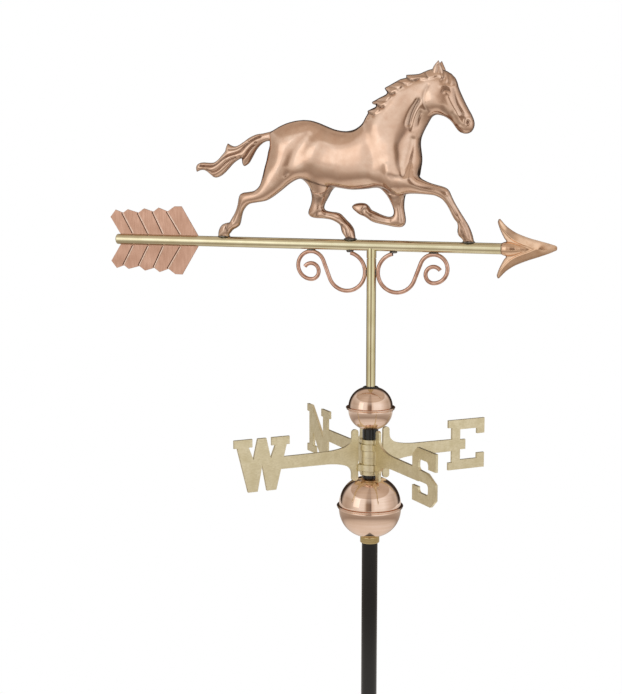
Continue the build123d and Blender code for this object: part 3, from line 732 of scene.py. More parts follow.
def skin(field, corner, step):
    """Points in millimetres and faces of the zero surface of a field."""
    grid = openvdb.FloatGrid(BAND)
    grid.copyFromArray(np.ascontiguousarray(-np.clip(field, -BAND, BAND), dtype=np.float32))
    points, faces = grid.convertToQuads(0.0)
    points = points.astype(float)
    for _ in range(3):
        value = sample(field, points)
        slope = np.stack([sample(field, points + d) - sample(field, points - d) for d in 0.5 * np.eye(3)], 1)
        reach = np.clip(value / np.maximum((slope ** 2).sum(1), 0.02), -0.6, 0.6)
        points -= reach[:, None] * slope
    return points * step + corner, faces


# %% [markdown]
# ## Outlines that swell
#
# A pressed half swells from its outline like a balloon. Physics gives the rule: a membrane held at
# the outline and pushed from behind takes a height u whose curvature is the same everywhere. The
# square root of 2u is exactly a round bar over a narrow strip, and a wide soft pillow over a broad
# shape, so legs come out round and the trunk comes out full from one rule.

# %% Measure an outline and swell it
def flowing(points, steps=6, closed=True):
    """Smooth line through the points, by the Catmull-Rom rule."""
    p = np.asarray(points, float)
    if closed:
        before, after, beyond = np.roll(p, 1, 0), np.roll(p, -1, 0), np.roll(p, -2, 0)
        here = p
    else:
        ends = np.vstack([2 * p[0] - p[1], p, 2 * p[-1] - p[-2]])
        before, here, after, beyond = ends[:-3], ends[1:-2], ends[2:-1], ends[3:]
    out = []
    for t in np.arange(steps) / steps:
        out.append(0.5 * (2 * here + (after - before) * t + (2 * before - 5 * here + 4 * after - beyond) * t ** 2
                          + (3 * here - before - 3 * after + beyond) * t ** 3))
    line = np.stack(out, 1).reshape(-1, 2)
    return line if closed else np.vstack([line, p[-1]])


def distance_to(line, x, z, closed):
    """Shortest distance from each grid point to a line of points."""
    ends = np.roll(line, -1, 0) if closed else line[1:]
    nearest = np.full(x.shape, 1e9)
    for (ax, az), (bx, bz) in zip(line, ends):
        ux, uz = bx - ax, bz - az
        t = np.clip(((x - ax) * ux + (z - az) * uz) / max(ux * ux + uz * uz, 1e-9), 0, 1)
        nearest = np.minimum(nearest, (x - ax - t * ux) ** 2 + (z - az - t * uz) ** 2)
    return np.sqrt(nearest)


def inside_of(line, x, z):
    """True for grid points inside a closed line."""
    inside = np.zeros(x.shape, bool)
    for (ax, az), (bx, bz) in zip(line, np.roll(line, -1, 0)):
        if az != bz:
            inside ^= ((az > z) != (bz > z)) & (x < (bx - ax) * (z - az) / (bz - az) + ax)
    return inside


def soft(values, radius):
    """Blur a map by a radius in grid steps."""
    fx = np.fft.fftfreq(values.shape[0])[:, None]
    fz = np.fft.rfftfreq(values.shape[1])[None, :]
    bell = np.exp(-2 * (math.pi * radius) ** 2 * (fx ** 2 + fz ** 2))
    return np.fft.irfft2(np.fft.rfft2(values) * bell, values.shape)


def ramp(values, low, high):
    """Smooth step from 0 at low to 1 at high."""
    t = np.clip((values - low) / (high - low), 0, 1)
    return t * t * (3 - 2 * t)


OVERSHOOT = 1.93  # each round pushes past the mean, so the balloon settles sooner


def swell(line, x, z, step, rounds):
    """Signed distance to the outline, and the squared height of the swelling over it."""
    inside = inside_of(line, x, z)
    away = distance_to(line, x, z, True)
    away = np.where(inside, away, -away)
    u = np.zeros(x.shape)
    checks = np.add.outer(np.arange(x.shape[0] - 2), np.arange(x.shape[1] - 2)) % 2
    core = inside[1:-1, 1:-1]
    for _ in range(rounds):
        for colour in (0, 1):
            mean = (u[:-2, 1:-1] + u[2:, 1:-1] + u[1:-1, :-2] + u[1:-1, 2:] + step ** 2) / 4
            u[1:-1, 1:-1] += np.where(core & (checks == colour), OVERSHOOT * (mean - u[1:-1, 1:-1]), 0)
    edge = ((away > 1.2) & (away < 5)).astype(float)
    lean = soft(edge * 2 * u / np.maximum(away, 1), 2.5) / np.maximum(soft(edge, 2.5), 1e-7)
    lean = np.clip(lean, 0.5, 80)
    share = ramp(away, 1.5, 4.5)
    return away, share * 2 * u + (1 - share) * lean * away


# %% [markdown]
# ## The horse's outlines
#
# The trunk, neck and head are pressed in two halves that meet in the middle plane. The right legs
# belong to the right half and the left legs to the left half, so there are two outlines. They
# share the top line, with the mane's flame-shaped tips, and the head; below, each has its own two
# legs. Points are millimetres along the arrow and above its axis.

# %% Draw the outlines
TOP_LINE = [
    (-126.5, 130), (-118.2, 135.4), (-111.7, 138.7), (-103.7, 141.7), (-94, 143.9), (-84.4, 144.8), (-75, 144),
    (-65.3, 141.2), (-55.8, 137.4), (-47, 134), (-38, 132.1), (-29, 131.9), (-19.7, 134.4), (-11.2, 140.6),
    (-7.3, 147.1), (-4.6, 152.2), (-5.9, 154.6), (-5.9, 154.6), (-1.2, 156.5), (5.7, 160), (1, 162.2),
    (-0.6, 164.4), (-0.6, 164.4), (7.9, 168.7), (17.8, 173.6), (17, 176.5), (14.7, 180.2), (14.7, 180.2),
    (23, 184.3), (33.6, 189.8), (40.6, 191.4), (39.4, 194.5), (39.4, 194.5), (47.1, 194.8), (56.1, 195.5),
    (63.5, 198.5), (71, 200.5), (80, 200.5), (89.5, 196.9), (94.5, 193.5), (97.9, 189.5), (100, 184.5),
    (101.2, 180), (104.1, 173.2), (108.3, 164.7), (112.9, 156.2), (117.4, 148.4), (119.9, 142), (120.2, 137.8),
    (118.8, 133.3), (116, 130), (111.9, 128.4), (107.5, 128.8), (103.8, 130.2), (100.8, 132.9), (97.8, 136.8),
    (95.5, 140), (91.7, 144), (86.5, 147.3), (80.5, 149.3), (75.3, 149.6), (71.2, 147.6), (68.6, 144), (65.2, 138),
    (61.3, 130.9), (58.4, 123.7), (57.5, 116.5), (58.4, 109.4), (59.6, 100.7), (59.5, 94.9), (58.5, 87.7),
]
RIGHT_LOWER = [
    (59.5, 81), (66.3, 76.6), (75.3, 73.1), (85.8, 70.3), (91.7, 68.1), (95.3, 64.2), (97.5, 59), (100.9, 51.7),
    (106.2, 42.5), (110.9, 35), (113.7, 30.4), (116.3, 26), (119.1, 19.7), (121.4, 12.6), (122.4, 7), (121, 5.5),
    (111, 5.5), (109.6, 6.5), (108.2, 9.4), (104, 13.4), (102.5, 18.5), (103.2, 25), (102, 29), (99.7, 31.6),
    (96.7, 37), (93.6, 43.7), (89.8, 50.2), (85.6, 54.8), (80, 57.8), (75.5, 59.1), (65, 60), (54.5, 60.4),
    (46.9, 60), (40, 58.4), (33.3, 57.9), (27.9, 59.4), (22, 63), (15, 66.5), (7, 67.2), (-4, 65.8), (-14, 64.8),
    (-25, 64.3), (-38.2, 65.7), (-48, 67.4), (-60, 69.5), (-72, 73), (-80, 75.3), (-87.1, 76), (-93.5, 73.9),
    (-100, 69.8), (-108, 63), (-117.8, 55.6), (-125.9, 50.8), (-133, 48.9), (-140.7, 47.7), (-149.7, 45.9),
    (-155, 42), (-158.9, 36.7), (-161.4, 29.8), (-163.1, 23.7), (-165, 19.8), (-169, 16.9), (-174.8, 13.8),
    (-178.7, 8.9), (-181, 5.5), (-194, 5.5), (-195, 8), (-194.3, 13), (-191.5, 18.6), (-187.3, 22), (-182.3, 23.5),
    (-178.3, 25), (-174.6, 30), (-170.6, 35.8), (-167.3, 42.5), (-165.4, 48.5), (-164, 54.5), (-162, 58),
    (-157.5, 60.2), (-150, 61.2), (-143, 62.8), (-138, 66.5), (-134.8, 71.7), (-132.6, 80.8), (-131.4, 89.7),
    (-130.2, 100.2), (-128.6, 109.2), (-126, 116), (-126.5, 123),
]
LEFT_LOWER = [
    (57, 81), (52, 74), (45, 67), (39, 61), (37, 56), (36.2, 50.7), (36.1, 43.3), (37.3, 36), (38.2, 29), (37, 24),
    (32.5, 20.8), (23.9, 20.9), (14.5, 22.6), (2, 25), (-4.2, 27.3), (-9, 30.7), (-13, 33), (-17.5, 34.6),
    (-22.4, 38), (-26.4, 41.6), (-27.3, 45), (-23.3, 48.2), (-15.4, 49.4), (-9.5, 48.4), (-6, 45), (-3.4, 41.2),
    (0.8, 39.3), (8.2, 36), (15, 33.9), (19.8, 33.9), (22.6, 36.4), (22.6, 41), (20.2, 47.8), (15.8, 56.5),
    (9.5, 64.4), (3, 66.5), (-4, 65.8), (-14, 64.8), (-25, 64.3), (-38.2, 65.7), (-47.5, 66), (-52.9, 61.5),
    (-56.8, 54.1), (-60.6, 47.3), (-61.8, 42.6), (-59.5, 40), (-53.6, 38.7), (-45.6, 37.9), (-40.5, 36.4),
    (-36.3, 33), (-32.1, 29), (-26.5, 24), (-22.6, 18.7), (-20.8, 12.8), (-19.8, 7), (-21, 5.5), (-31.5, 5.5),
    (-33.6, 8.7), (-37.4, 13.2), (-39.2, 18), (-40.4, 21.8), (-44.5, 24.8), (-52, 27.9), (-61.6, 29.2),
    (-72.8, 29.6), (-79, 31.2), (-82.2, 35), (-81.6, 40), (-79.3, 45.5), (-77.7, 52.3), (-78, 58.8), (-79.8, 66),
    (-84, 72), (-91, 77.5), (-101, 84), (-112, 91), (-120, 99), (-125, 108), (-126.5, 118), (-126.5, 124),
]
outlines = {"right": flowing(TOP_LINE + RIGHT_LOWER, 4), "left": flowing(TOP_LINE + LEFT_LOWER, 4)}
print({side: len(line) for side, line in outlines.items()}, "points")

# %% [markdown]
# ## How thick, and how far to the side
#
# The swelling gives a height for a full round form. A horse is flatter than that in the trunk and
# neck, and each leg stands to its own side and comes back to the middle plane at its hoof, where it
# is soldered to the tube. A few guide points say both, and the values between them are blended.

# %% Guide points for thickness and side
NEAR = 13.0  # how far a guide point reaches
COMMON_GUIDES = [  # x, z, share of full roundness, distance of the middle surface from the middle plane
    (-110, 118, 0.42, 0), (-85, 112, 0.36, 0), (-50, 100, 0.33, 0), (-15, 100, 0.33, 0), (15, 112, 0.34, 0),
    (35, 120, 0.33, 0), (35, 150, 0.22, 0), (58, 160, 0.2, 0), (62, 180, 0.2, 0), (20, 170, 0.35, 0),
    (80, 172, 0.34, 0), (88, 190, 0.34, 0), (97, 160, 0.4, 0), (108, 148, 0.5, 0), (115, 138, 0.62, 0),
    (52, 105, 0.4, 0), (-128, 122, 0.5, 0), (-100, 138, 0.4, 0), (0, 155, 0.4, 0),
]
RIGHT_GUIDES = COMMON_GUIDES + [
    (25, 85, 0.34, 3), (35, 68, 0.5, 9), (60, 68, 0.8, 12), (85, 64, 0.9, 10), (100, 48, 1.0, 6), (110, 30, 1.0, 3),
    (116, 10, 1.0, 0), (-15, 70, 0.4, 0), (-50, 75, 0.38, 0), (-105, 85, 0.36, 4), (-118, 68, 0.42, 10),
    (-138, 56, 0.7, 11), (-158, 50, 0.95, 9), (-166, 32, 1.0, 6), (-174, 20, 1.0, 3), (-188, 9, 1.0, 0),
]
LEFT_GUIDES = COMMON_GUIDES + [
    (30, 88, 0.34, 3), (28, 66, 0.5, 10), (29, 48, 0.8, 12), (30, 27, 0.95, 12), (5, 31, 1.0, 12),
    (-20, 42, 1.0, 11), (-12, 70, 0.4, 0), (-100, 95, 0.38, 2), (-72, 80, 0.36, 4), (-70, 62, 0.45, 10),
    (-70, 48, 0.7, 10), (-74, 35, 0.9, 9), (-55, 34, 1.0, 8), (-40, 30, 1.0, 6), (-33, 20, 1.0, 3),
    (-26, 9, 1.0, 0),
]


def blended(guides, x, z):
    """Maps of roundness and side distance, weighted by nearness to the guide points."""
    weights = np.zeros(x.shape)
    roundness, side = np.zeros(x.shape), np.zeros(x.shape)
    for gx, gz, full, away in guides:
        near = np.exp(-((x - gx) ** 2 + (z - gz) ** 2) / (2 * NEAR ** 2)) + 1e-9
        weights += near
        roundness += near * full
        side += near * away
    return roundness / weights, side / weights


# %% [markdown]
# ## Muscles, folds and features
#
# On top of the swelling the die raises muscles and presses folds. Each feature is a line with a
# width and a height in millimetres, positive for a raised muscle and negative for a fold. The
# falloff is a bell curve, so every feature melts into the sheet as pressed metal does.

# %% List the features
FEATURES = [  # width, height, points along the line
    (2.7, -1.6, [(58.5, 165.5), (56, 161), (52.6, 155), (49.4, 147), (47.7, 139.6)]),  # windpipe fold
    (2.3, 0.8, [(58.5, 159), (54.6, 150), (52.8, 141), (52.2, 132)]),
    (1.7, -0.8, [(60.6, 152), (57.2, 144.6), (55.8, 137)]),
    (2.0, -0.6, [(69, 182), (65.5, 175), (64, 167), (65.6, 159), (70, 154)]),  # behind the jaw
    (8.0, 1.0, [(76, 166), (79, 162)]),  # round cheek
    (2.0, -0.6, [(86, 157), (90, 151), (95, 145)]),
    (1.3, 0.5, [(89.4, 174), (91, 173.8)]),  # eye
    (0.8, -0.8, [(86, 174.6), (87.6, 176.2), (90.4, 176.6), (93.8, 174.8)]),
    (1.7, 0.7, [(84, 181), (90, 181.4), (96.5, 178.6)]),  # brow
    (1.6, -1.0, [(97.2, 178), (99, 169), (102.2, 160), (107.6, 151)]),  # beside the nose bone
    (1.9, 0.7, [(93, 169), (97.4, 159.5), (103, 149.5)]),  # cheek bone
    (1.6, -0.5, [(97, 151), (101, 144.5), (104.5, 138.5)]),
    (1.5, 0.4, [(101, 151), (105, 144.5), (108.5, 139.5)]),
    (1.2, -2.4, [(113.3, 140), (114.3, 142)]),  # nostril
    (1.0, 0.7, [(111, 139.5), (111.4, 143.6), (114.6, 145.4), (117.2, 143)]),
    (1.0, -1.3, [(106.4, 131), (103.4, 134), (101, 137.8)]),  # mouth
    (1.4, 0.5, [(109.5, 132.5), (106, 136)]),
    (3.0, -1.9, [(51.8, 122), (50.6, 113), (48.6, 103), (47.4, 92), (46.4, 82)]),  # between shoulder and breast
    (2.4, 0.7, [(55.8, 118), (55.2, 105), (53.8, 90)]),
    (12.0, 2.2, [(33, 112), (36, 98), (36, 90)]),  # shoulder
    (8.0, -1.2, [(-2, 132), (3.5, 114), (6.8, 100), (11.5, 85), (18, 72)]),  # behind the shoulder
    (5.0, 1.2, [(25, 92), (26, 78), (29, 68)]),  # elbow muscle
    (1.8, -0.8, [(19, 70), (23, 66), (31, 62)]),
    (2.6, -0.7, [(43, 80.5), (36, 79.5), (28, 81.5)]),
    (17, 2.0, [(-112, 112), (-108, 96)]),  # haunch
    (8.5, -1.8, [(-72, 126), (-81, 114), (-91, 101), (-98, 86)]),  # flank
    (2.2, -0.7, [(-98.6, 83.5), (-101.6, 80)]),
    (8.0, 1.0, [(-58, 122), (-64, 110), (-70, 97)]),
    (2.0, -0.7, [(-126, 121), (-129, 104), (-129, 90), (-130, 78)]),  # buttock seam
    (1.1, -0.7, [(94, 58), (99.5, 47), (104.5, 37.5)]),  # tendon of the right foreleg
    (1.3, 0.8, [(92, 64.6), (93.5, 60.5)]),
    (1.3, 1.0, [(109.6, 29), (111, 25)]),
    (1.2, -1.3, [(106.4, 29.6), (108.6, 22), (112.6, 9)]),  # cleft above the right front hoof
    (1.1, -1.0, [(111, 29.2), (115.4, 20), (117.4, 12)]),
    (1.1, -0.9, [(-160.6, 50), (-163, 42), (-167.6, 33), (-171.6, 25)]),  # tendon of the right hind leg
    (1.4, -1.4, [(-178.5, 23.6), (-181, 17), (-179.4, 9)]),
    (1.3, 1.0, [(-171, 22), (-174, 18)]),
    (1.8, -1.0, [(-64, 40), (-68, 36), (-70, 33.4)]),
    (1.2, -0.8, [(-58, 35), (-49, 34), (-42, 31.4)]),
    (1.2, -1.3, [(-37, 23), (-31, 20), (-27.4, 8)]),
    (1.2, -1.2, [(-9, 44), (-12, 41), (-13.4, 36)]),
    (1.1, -0.8, [(20, 28.6), (8, 30.4), (-3, 34.6)]),
    (1.2, -0.7, [(31.4, 48), (33, 36), (33.6, 28)]),
]
MANE_EDGE = [
    (-13, 138), (-6, 153.5), (-1, 165), (14, 181), (38, 196), (70, 203), (84, 201), (90, 196), (86, 189), (80, 192),
    (74, 189.9), (65.1, 188.2), (57, 189.4), (53.2, 187), (44.2, 182.5), (40, 183), (35.2, 176.9), (28, 174),
    (26.2, 168.2), (20.2, 161.3), (14, 159), (14.1, 154), (5.7, 149.2), (0, 147), (-1.1, 142.7), (-10.4, 138.6),
]
LOCKS = [  # width, height, points along each fold between locks of the mane
    (0.9, -1.8, [(-4.6, 152.4), (1, 151.6), (6.5, 149.4)]),
    (1.0, -2.0, [(0.5, 162.4), (8, 161), (14.5, 158), (18, 158.6)]),
    (0.8, -0.9, [(4, 166), (12, 165.4), (20.4, 165), (25, 168)]),
    (1.0, -2.0, [(16, 177), (22, 174.4), (27, 172.6), (30, 173.6)]),
    (0.8, -0.9, [(22, 181.6), (28, 180.4), (35, 178.4)]),
    (0.9, -1.4, [(30, 187), (36, 185.6), (43, 183.6)]),
    (1.0, -2.0, [(40, 193), (45, 189.4), (50.2, 187.6), (57, 189)]),
    (0.8, -0.9, [(47, 193.8), (56, 192.4), (66, 192.6)]),
    (0.9, -1.5, [(62.5, 199), (64.6, 194.6), (68, 190.6)]),
    (2.0, 0.7, [(0, 155.4), (7, 155), (13, 155.6)]),
    (2.0, 0.7, [(10, 169), (18, 169.4), (24, 169.6)]),
    (2.0, 0.7, [(24, 183), (32, 182.6), (39, 182)]),
    (2.0, 0.7, [(46, 191.4), (56, 190.8), (64, 191)]),
    (1.0, -1.1, [(84, 198), (86, 192), (84.5, 187)]),
    (1.0, -1.1, [(89, 196), (91.4, 190), (92, 184.6)]),
    (1.0, -1.0, [(94, 193), (96.2, 188), (97.4, 183)]),
    (1.0, 0.7, [(86.6, 197), (88.8, 191), (88.4, 185)]),
    (1.0, 0.7, [(91.6, 194.6), (94, 188.6), (94.6, 183.6)]),
]
print(len(FEATURES), "features", len(LOCKS), "mane folds")

# %% [markdown]
# ## From a swelling to a pressed piece
#
# Every pressed piece takes the same steps: features are added to the swelling, the result becomes
# a field round a middle surface, a skin is laid over it, and each point of the skin remembers how
# deep in a fold it lies, so that the finish can darken it, partly as patina and partly as painted
# shade, with a painted dark line of shade along the outline.

# %% Steps shared by all pressed pieces
def grid_of(step, x_ends, y_ends, z_ends):
    """Grid lines along each axis with their step, and flat maps of x and z."""
    x, y, z = (np.arange(*ends, step) for ends in (x_ends, y_ends, z_ends))
    return (x, y, z, step), *np.meshgrid(x, z, indexing="ij")


def relief(features, x, z):
    """Sum of raised and pressed features, and the darkness of the narrow folds: patina and painted shade."""
    rise, crease_patina_and_shade = np.zeros(x.shape), np.zeros(x.shape)
    for width, height, points in features:
        near = np.exp(-(distance_to(flowing(points, 4, False), x, z, False) / width) ** 2)
        rise += height * near
        # Narrow folds are darkened, partly as patina and partly as painted shade.
        if height < 0 and width < 3:
            crease_patina_and_shade = np.maximum(crease_patina_and_shade, -height / 2.8 * near)
    return rise, crease_patina_and_shade


def press(height2, rise, least):
    """Squared height with features added, but never less than a share of what it was."""
    return np.maximum(height2 + 2 * np.sqrt(np.maximum(height2, 0)) * rise, least * height2)


def with_painted_outline_shade(crease_patina_and_shade, away, dark, width):
    """Crease marks with a painted dark line of shade along the outline of the form."""
    return np.maximum(crease_patina_and_shade, dark * np.exp(-(away / width) ** 2))


def round_form(form2, height2, off, step, calm=1.0):
    """Field of a form: squared height less the squared distance off its middle surface."""
    along, up = np.gradient(height2, step)
    steep = (along ** 2 + up ** 2)[:, None, :] + 4 * off ** 2 + calm
    return (form2 - off ** 2) / np.sqrt(steep)


def joined(first, second, reach):
    """Higher of two fields, with a soft fillet where they meet."""
    mix = np.clip(0.5 + (second - first) / (2 * reach), 0, 1)
    return first * (1 - mix) + second * mix + reach * mix * (1 - mix)


def lay(name, field, grid, marks, angle, stands_for, finish=pressed_copper):
    """Skin a field, store its crease and outline darkness (patina and painted shade) on its points, and finish the
    piece.
    """
    x, y, z, step = grid
    corner = np.array([x[0], y[0], z[0] + AXIS_Z])
    mesh = metal_mesh(name, *skin(field, corner, step), angle)
    cells = ((mesh_points(mesh) - corner) / step).round().astype(int)
    i, k = (np.clip(cells[:, a], 0, marks.shape[b] - 1) for a, b in ((0, 0), (2, 1)))
    # The crease patina and painted shade go to the finish as a point attribute.
    patina_and_shade_attribute = mesh.attributes.new("patina_and_painted_shade", "FLOAT", "POINT")
    patina_and_shade_attribute.data.foreach_set("value", np.clip(marks[i, k], 0, 1).astype(np.float32))
    finish_piece(name, mesh, "vane", [finish], stands_for)


SIDES = (("right", -1), ("left", 1))
print("shared steps ready")

# %% [markdown]
# ## From outline to half a horse
#
# The right and left forms are made as fields and joined softly, as sheet metal flows from the
# belly to a thigh. Then the whole is cut along the middle plane, or round a leg where a leg
# crosses it, into a right and a left half. The cut leaves the fine groove that the solder fills.

# %% Press the two halves
HORSE_STEP = 0.9
HORSE_GRID, GX, GZ = grid_of(HORSE_STEP, (-202, 130), (-30, 30.1), (0, 210))
HORSE_Y = HORSE_GRID[1][None, :, None]
MANE_RISE, MELT = 1.3, 2.5  # height of the mane over the neck, and reach of the joint between halves
rise, crease_patina_and_shade = relief(FEATURES + LOCKS, GX, GZ)
mane_line = flowing(MANE_EDGE, 4)
in_mane = np.where(inside_of(mane_line, GX, GZ), distance_to(mane_line, GX, GZ, True), 0)
rise += MANE_RISE * ramp(in_mane, 0.0, 1.5)
fields, crease_and_painted_outline_shade = {}, {}
for (side, sign), guides in zip(SIDES, (RIGHT_GUIDES, LEFT_GUIDES)):
    away, height2 = swell(outlines[side], GX, GZ, HORSE_STEP, 420)
    roundness, aside = blended(guides, GX, GZ)
    height2 = height2 * roundness
    height2 = soft(np.where(height2 > 0, press(height2, rise, 0.12), height2), 0.7)
    off = HORSE_Y - (sign * aside)[:, None, :]
    fields[side] = round_form(height2[:, None, :], height2, off, HORSE_STEP, 4.0).astype(np.float32)
    # The crease marks get a painted dark line of shade along the outline.
    crease_and_painted_outline_shade[side] = with_painted_outline_shade(crease_patina_and_shade, away, 0.8, 1.1)
    print(side, "half width", round(math.sqrt(height2.max()), 1), "mm")
horse = joined(fields["left"], fields["right"], MELT) - 0.5

# %% Cut them along the middle and lay the skins
SEAM, LEG_SIDE = 0.04, 16.0  # half the gap at the cut, and how far the cut steps round a leg
right_leg = np.maximum(ramp(GX, 40, 50), ramp(-GX, 94, 104)) * ramp(-GZ, -78, -66)
left_leg = ramp(-GZ, -62, -52) * ramp(GX, -96, -88) * ramp(-GX, -44, -38)
from_cut = HORSE_Y - (LEG_SIDE * right_leg - LEG_SIDE * left_leg)[:, None, :]
HALVES = {
    "right": ["horse_right_half", "right_foreleg", "right_hind_leg", "horse_mane"],
    "left": ["horse_left_half", "left_foreleg", "left_hind_leg"],
}
for side, sign in SIDES:
    half = np.minimum(horse, sign * from_cut - SEAM)
    lay(f"horse_{side}_side", half, HORSE_GRID, crease_and_painted_outline_shade[side], 50, HALVES[side])

# %% [markdown]
# ## Ears
#
# Each ear is a small pointed cup soldered to the head. It swells from its own outline like the
# halves do, leans a little outwards, and has a hollow pressed in its outer face.

# %% Press the ears
EAR = [(71.5, 190), (71.2, 197), (74.4, 204), (79.6, 210), (79.6, 210), (82, 205), (84.6, 199), (85, 191), (78, 187)]
EAR_FOLDS = [(1.2, -1.0, [(79, 204), (79, 198), (78, 192)])]
EAR_STEP = 0.45
EAR_ASIDE, EAR_LEAN = 5.0, 0.12  # distance from the middle plane, and how much it grows with height
ear_grid, ear_x, ear_z = grid_of(EAR_STEP, (66, 91), (-12, 12), (182, 214))
away, height2 = swell(flowing(EAR, 4), ear_x, ear_z, EAR_STEP, 200)
rise, crease_patina_and_shade = relief(EAR_FOLDS, ear_x, ear_z)
height2 = height2 * 0.3
hollow = press(height2, rise, 0.05)
for side, sign in SIDES:
    aside = sign * (EAR_ASIDE + EAR_LEAN * (ear_z - 190))
    off = ear_grid[1][None, :, None] - aside[:, None, :]
    form2 = np.where(sign * off > 0, hollow[:, None, :], height2[:, None, :])
    field = round_form(form2, height2, off, EAR_STEP)
    # Painted shade along the ear's outline joins its fold marks.
    lay(f"horse_{side}_ear_pressed", field, ear_grid, with_painted_outline_shade(crease_patina_and_shade, away, 0.6, 0.8), 60, [f"horse_{side}_ear"])

# %% [markdown]
# ## Tail
#
# The tail streams out behind in four or five twisted strands. It is pressed as one flat swelling
# with deep folds between the strands, and soldered into the rump.

# %% Press the tail
TAIL = [
    (-121, 132), (-128, 131.2), (-136.1, 129.5), (-144.3, 128.3), (-152.6, 124.9), (-160.8, 119.6), (-167.5, 115.6),
    (-172.5, 114.3), (-177.4, 115.6), (-181.5, 118), (-181.5, 118), (-183.8, 112.8), (-185, 108.3), (-189.2, 103.7),
    (-194.3, 98.4), (-199.4, 95.2), (-206.1, 94.7), (-212.9, 95.1), (-218, 94.5), (-222.2, 92.2), (-223.6, 88.3),
    (-222.8, 83.6), (-222.8, 83.6), (-218.9, 85.3), (-214.7, 86.1), (-209.6, 84.6), (-204.6, 80.8), (-199.6, 77.3),
    (-194.5, 77.4), (-187.8, 80.9), (-181, 87.1), (-174.3, 93.9), (-167.6, 98.5), (-163.5, 99.5), (-162.6, 94),
    (-160.6, 91), (-157.7, 91.7), (-153.6, 94.8), (-149.4, 101.6), (-144.4, 109.9), (-139.5, 115.4),
    (-133.7, 119.3), (-128, 120.5), (-121, 118),
]
STRANDS = [  # width, height, points along the line
    (1.1, -1.9, [(-138, 126), (-146, 122.8), (-154.3, 117.2), (-162, 109.6), (-170, 106), (-180, 103),
                 (-188.6, 97.6), (-197.8, 91.6), (-208, 90.8), (-217, 91)]),
    (1.0, -1.2, [(-154, 120), (-162, 115), (-170, 111.4), (-178, 110.6)]),
    (1.0, -1.6, [(-170, 100.6), (-178, 97.6), (-186, 91.4), (-193, 86), (-200, 83.8), (-208, 86.6)]),
    (1.1, -1.9, [(-146, 115.4), (-151, 110.6), (-156, 104), (-161, 100), (-164, 101.5)]),
    (2.4, 0.8, [(-146, 118.4), (-154, 111.6), (-160, 105), (-168, 102)]),
    (2.0, 0.8, [(-184, 99.4), (-192, 92.8), (-201, 87.6), (-211, 88.4)]),
]
TAIL_STEP = 0.6
tail_grid, tail_x, tail_z = grid_of(TAIL_STEP, (-228, -116), (-9, 9.1), (72, 138))
away, height2 = swell(flowing(TAIL, 4), tail_x, tail_z, TAIL_STEP, 300)
height2 = height2 * (0.42 + 0.3 * ramp(-tail_x, 170, 220))  # flat at the root, rounder at the tips
rise, crease_patina_and_shade = relief(STRANDS, tail_x, tail_z)
height2 = soft(np.where(height2 > 0, press(height2, rise, 0.15), height2), 0.6)
field = round_form(height2[:, None, :], height2, tail_grid[1][None, :, None], TAIL_STEP)
# Painted shade along the tail's outline joins its fold marks.
lay("horse_tail_pressed", field, tail_grid, with_painted_outline_shade(crease_patina_and_shade, away, 0.7, 1.0), 60, ["horse_tail"])

# %% [markdown]
# ## Arrow head
#
# The head is stamped in two halves. Each wing rises in a flat slope from its outer edge to a sharp
# ridge, and drops behind the ridge to a sunken web. A bullet-shaped socket swells over the end of
# the tube and runs out to nothing near the middle. The field is the highest of these forms.

# %% Draw the arrow head
HEAD_STEP = 0.5
OUTER = [
    (151.5, 33.6), (154, 31), (160, 25), (168, 19.6), (175, 16.3), (185, 12.6), (195, 9.6), (205, 6.6), (212, 4.2),
    (215.6, 2.6), (216.9, 0.9),
]
RIDGE = [
    (151, 33.4), (152.6, 27), (155.4, 22.4), (159, 18), (164, 13), (170, 9), (178, 5.6), (185, 3.2), (191, 0.6),
    (196, 0),
]
INNER = [(150.4, 33.4), (149.3, 30), (151, 24.4), (153.6, 18.4), (157, 12), (159.4, 9)]
TIP, MIDRIB = (217, 0), (196, 0)
CURL_UP = 2.2  # how far the tip curls up
EDGE_HIGH, RIDGE_HIGH, WEB_HIGH = 0.5, 3.0, 2.0  # half thickness at the edge, the ridge and the web
SOFT = 0.8  # reach of the fillet between socket and wings
head_grid, head_x, head_z = grid_of(HEAD_STEP, (148, 219), (-10.5, 10.6), (-36, 36.1))
high = np.abs(head_z - CURL_UP * np.clip((head_x - 165) / 52, 0, 1) ** 2)
outer, ridge, inner = (flowing(p, 4, False) for p in (OUTER, RIDGE, INNER))
whole = np.vstack([outer, [TIP, (217, -6), (159.4, -6)], inner[::-1]])
slope_part = np.vstack([outer, [TIP, MIDRIB], ridge[::-1]])
from_edge = distance_to(np.vstack([outer, [TIP]]), head_x, high, False)
from_ridge = distance_to(ridge, head_x, high, False)
border = distance_to(np.vstack([inner[::-1], outer, [TIP]]), head_x, high, False)
border = np.where(inside_of(whole, head_x, high), border, -border)
print("head maps", border.shape)

# %% Stamp the arrow head
slope = EDGE_HIGH + (RIDGE_HIGH - EDGE_HIGH) * from_edge / np.maximum(from_edge + from_ridge, 0.01)
web = np.maximum(WEB_HIGH, RIDGE_HIGH - 0.8 * from_ridge)
wing = np.where(inside_of(slope_part, head_x, high), slope, web)
start = span("arrow_head_right_half", 0)[0] + 12.0  # where the socket begins
stations, radii = [start, 156, 160, 165, 170, 176, 184, 190], [6.5, 7.4, 8.5, 7.9, 6.6, 4.6, 2.2, 0]
bullet2 = np.interp(head_grid[0], stations, radii)[:, None] ** 2 - head_z ** 2
off = head_grid[1][None, :, None]
plate = np.minimum(wing[:, None, :] - np.abs(off), border[:, None, :])
socket = round_form(bullet2[:, None, :], bullet2, off, HEAD_STEP)
socket = np.minimum(socket, (head_x - start)[:, None, :] - 0.05)
head = joined(socket, plate, SOFT)
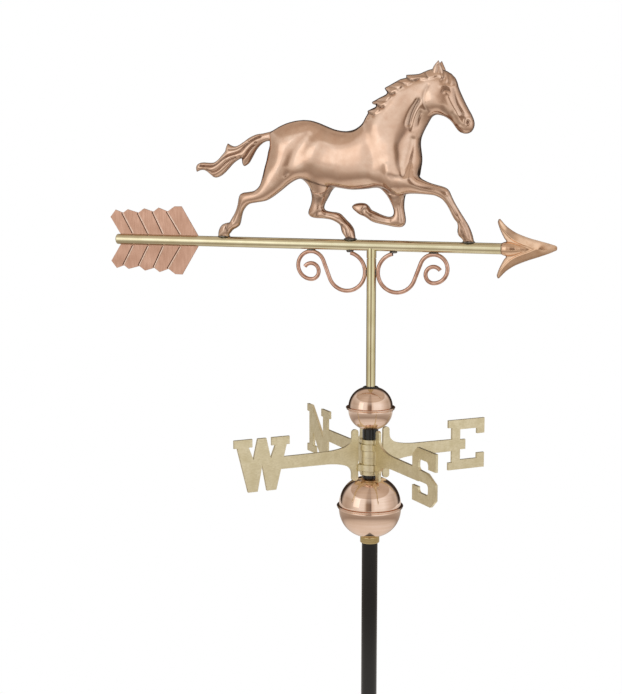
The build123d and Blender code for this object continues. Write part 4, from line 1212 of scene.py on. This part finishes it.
# Painted shade in the recess behind the wings, and a dark joint line where the socket starts on the tube.
painted_shade_behind_wings = np.exp(-(distance_to(inner, head_x, high, False) / 1.3) ** 2)
head_joint_and_painted_shade = 0.9 * np.maximum(painted_shade_behind_wings, np.exp(-((head_x - start) / 0.8) ** 2) * (high < 9))
for side, sign in SIDES:
    half = np.minimum(head, sign * off - 0.03)
    lay(f"arrow_head_{side}_stamped", half, head_grid, head_joint_and_painted_shade, 32, [f"arrow_head_{side}_half"],
        stamped_copper)

# %% [markdown]
# ## Solder
#
# Soft solder holds the hooves and the scrolls to the tubes. It is a grey puddle with a lumpy,
# concave edge that wets both parts. A small field makes each puddle: a flat blob that hugs the
# tube, with a few smooth waves for the lumps.

# %% Drop the solder
SOLDER_STEP = 0.4
ROOM = 1.5  # empty grid round each puddle
HOOVES = (115.8, -187.4, -26.2)


def puddle(centre, reach, wave):
    """Field of one solder blob: a soft ellipsoid with lumps, outside the arrow tube."""
    low = np.array(centre) - np.array(reach) - ROOM
    axes = [np.arange(low[i], centre[i] + reach[i] + ROOM, SOLDER_STEP) for i in range(3)]
    x, y, z = np.meshgrid(*axes, indexing="ij")
    lumps = 0.08 * np.sin(x * 1.3 + wave) * np.cos(y * 1.7 + 2 * wave) + 0.05 * np.sin(z * 2.3 + wave * 3)
    shape = 1 + lumps - np.sqrt(sum(((a - c) / r) ** 2 for a, c, r in zip((x, y, z), centre, reach)))
    return np.minimum(shape * min(reach), np.hypot(y, z) - ARROW_R - GAP), low


def solder(name, places, node):
    """One mesh of all the puddles that stand for a CAD node."""
    all_points, all_faces, count = [], [], 0
    for number, (centre, reach) in enumerate(places):
        points, faces = skin(*puddle(centre, reach, number * 1.7), SOLDER_STEP)
        all_points.append(points + [0, 0, AXIS_Z])
        all_faces.append(faces + count)
        count += len(points)
    mesh = metal_mesh(name, np.vstack(all_points), np.vstack(all_faces), 60)
    finish_piece(name, mesh, "vane", [soft_solder], [node])


solder("hoof_solder_puddles", [((x, 0, 6.7), (7.4, 5.4, 2.1)) for x in HOOVES], "hoof_solder")
drops = []
for side in (1, -1):
    drops += [((side * (HOOK[0] - 4), 0, -7.0), (4.6, 3.0, 1.8)), ((side * CURL[0], 0, -6.9), (5.6, 2.6, 1.5)),
              ((side * (SLEEVE_R + 0.6), 0, HOOK[1] - AXIS_Z), (1.6, 2.0, 5.0))]
solder("scroll_solder_drops", drops, "scroll_solder")
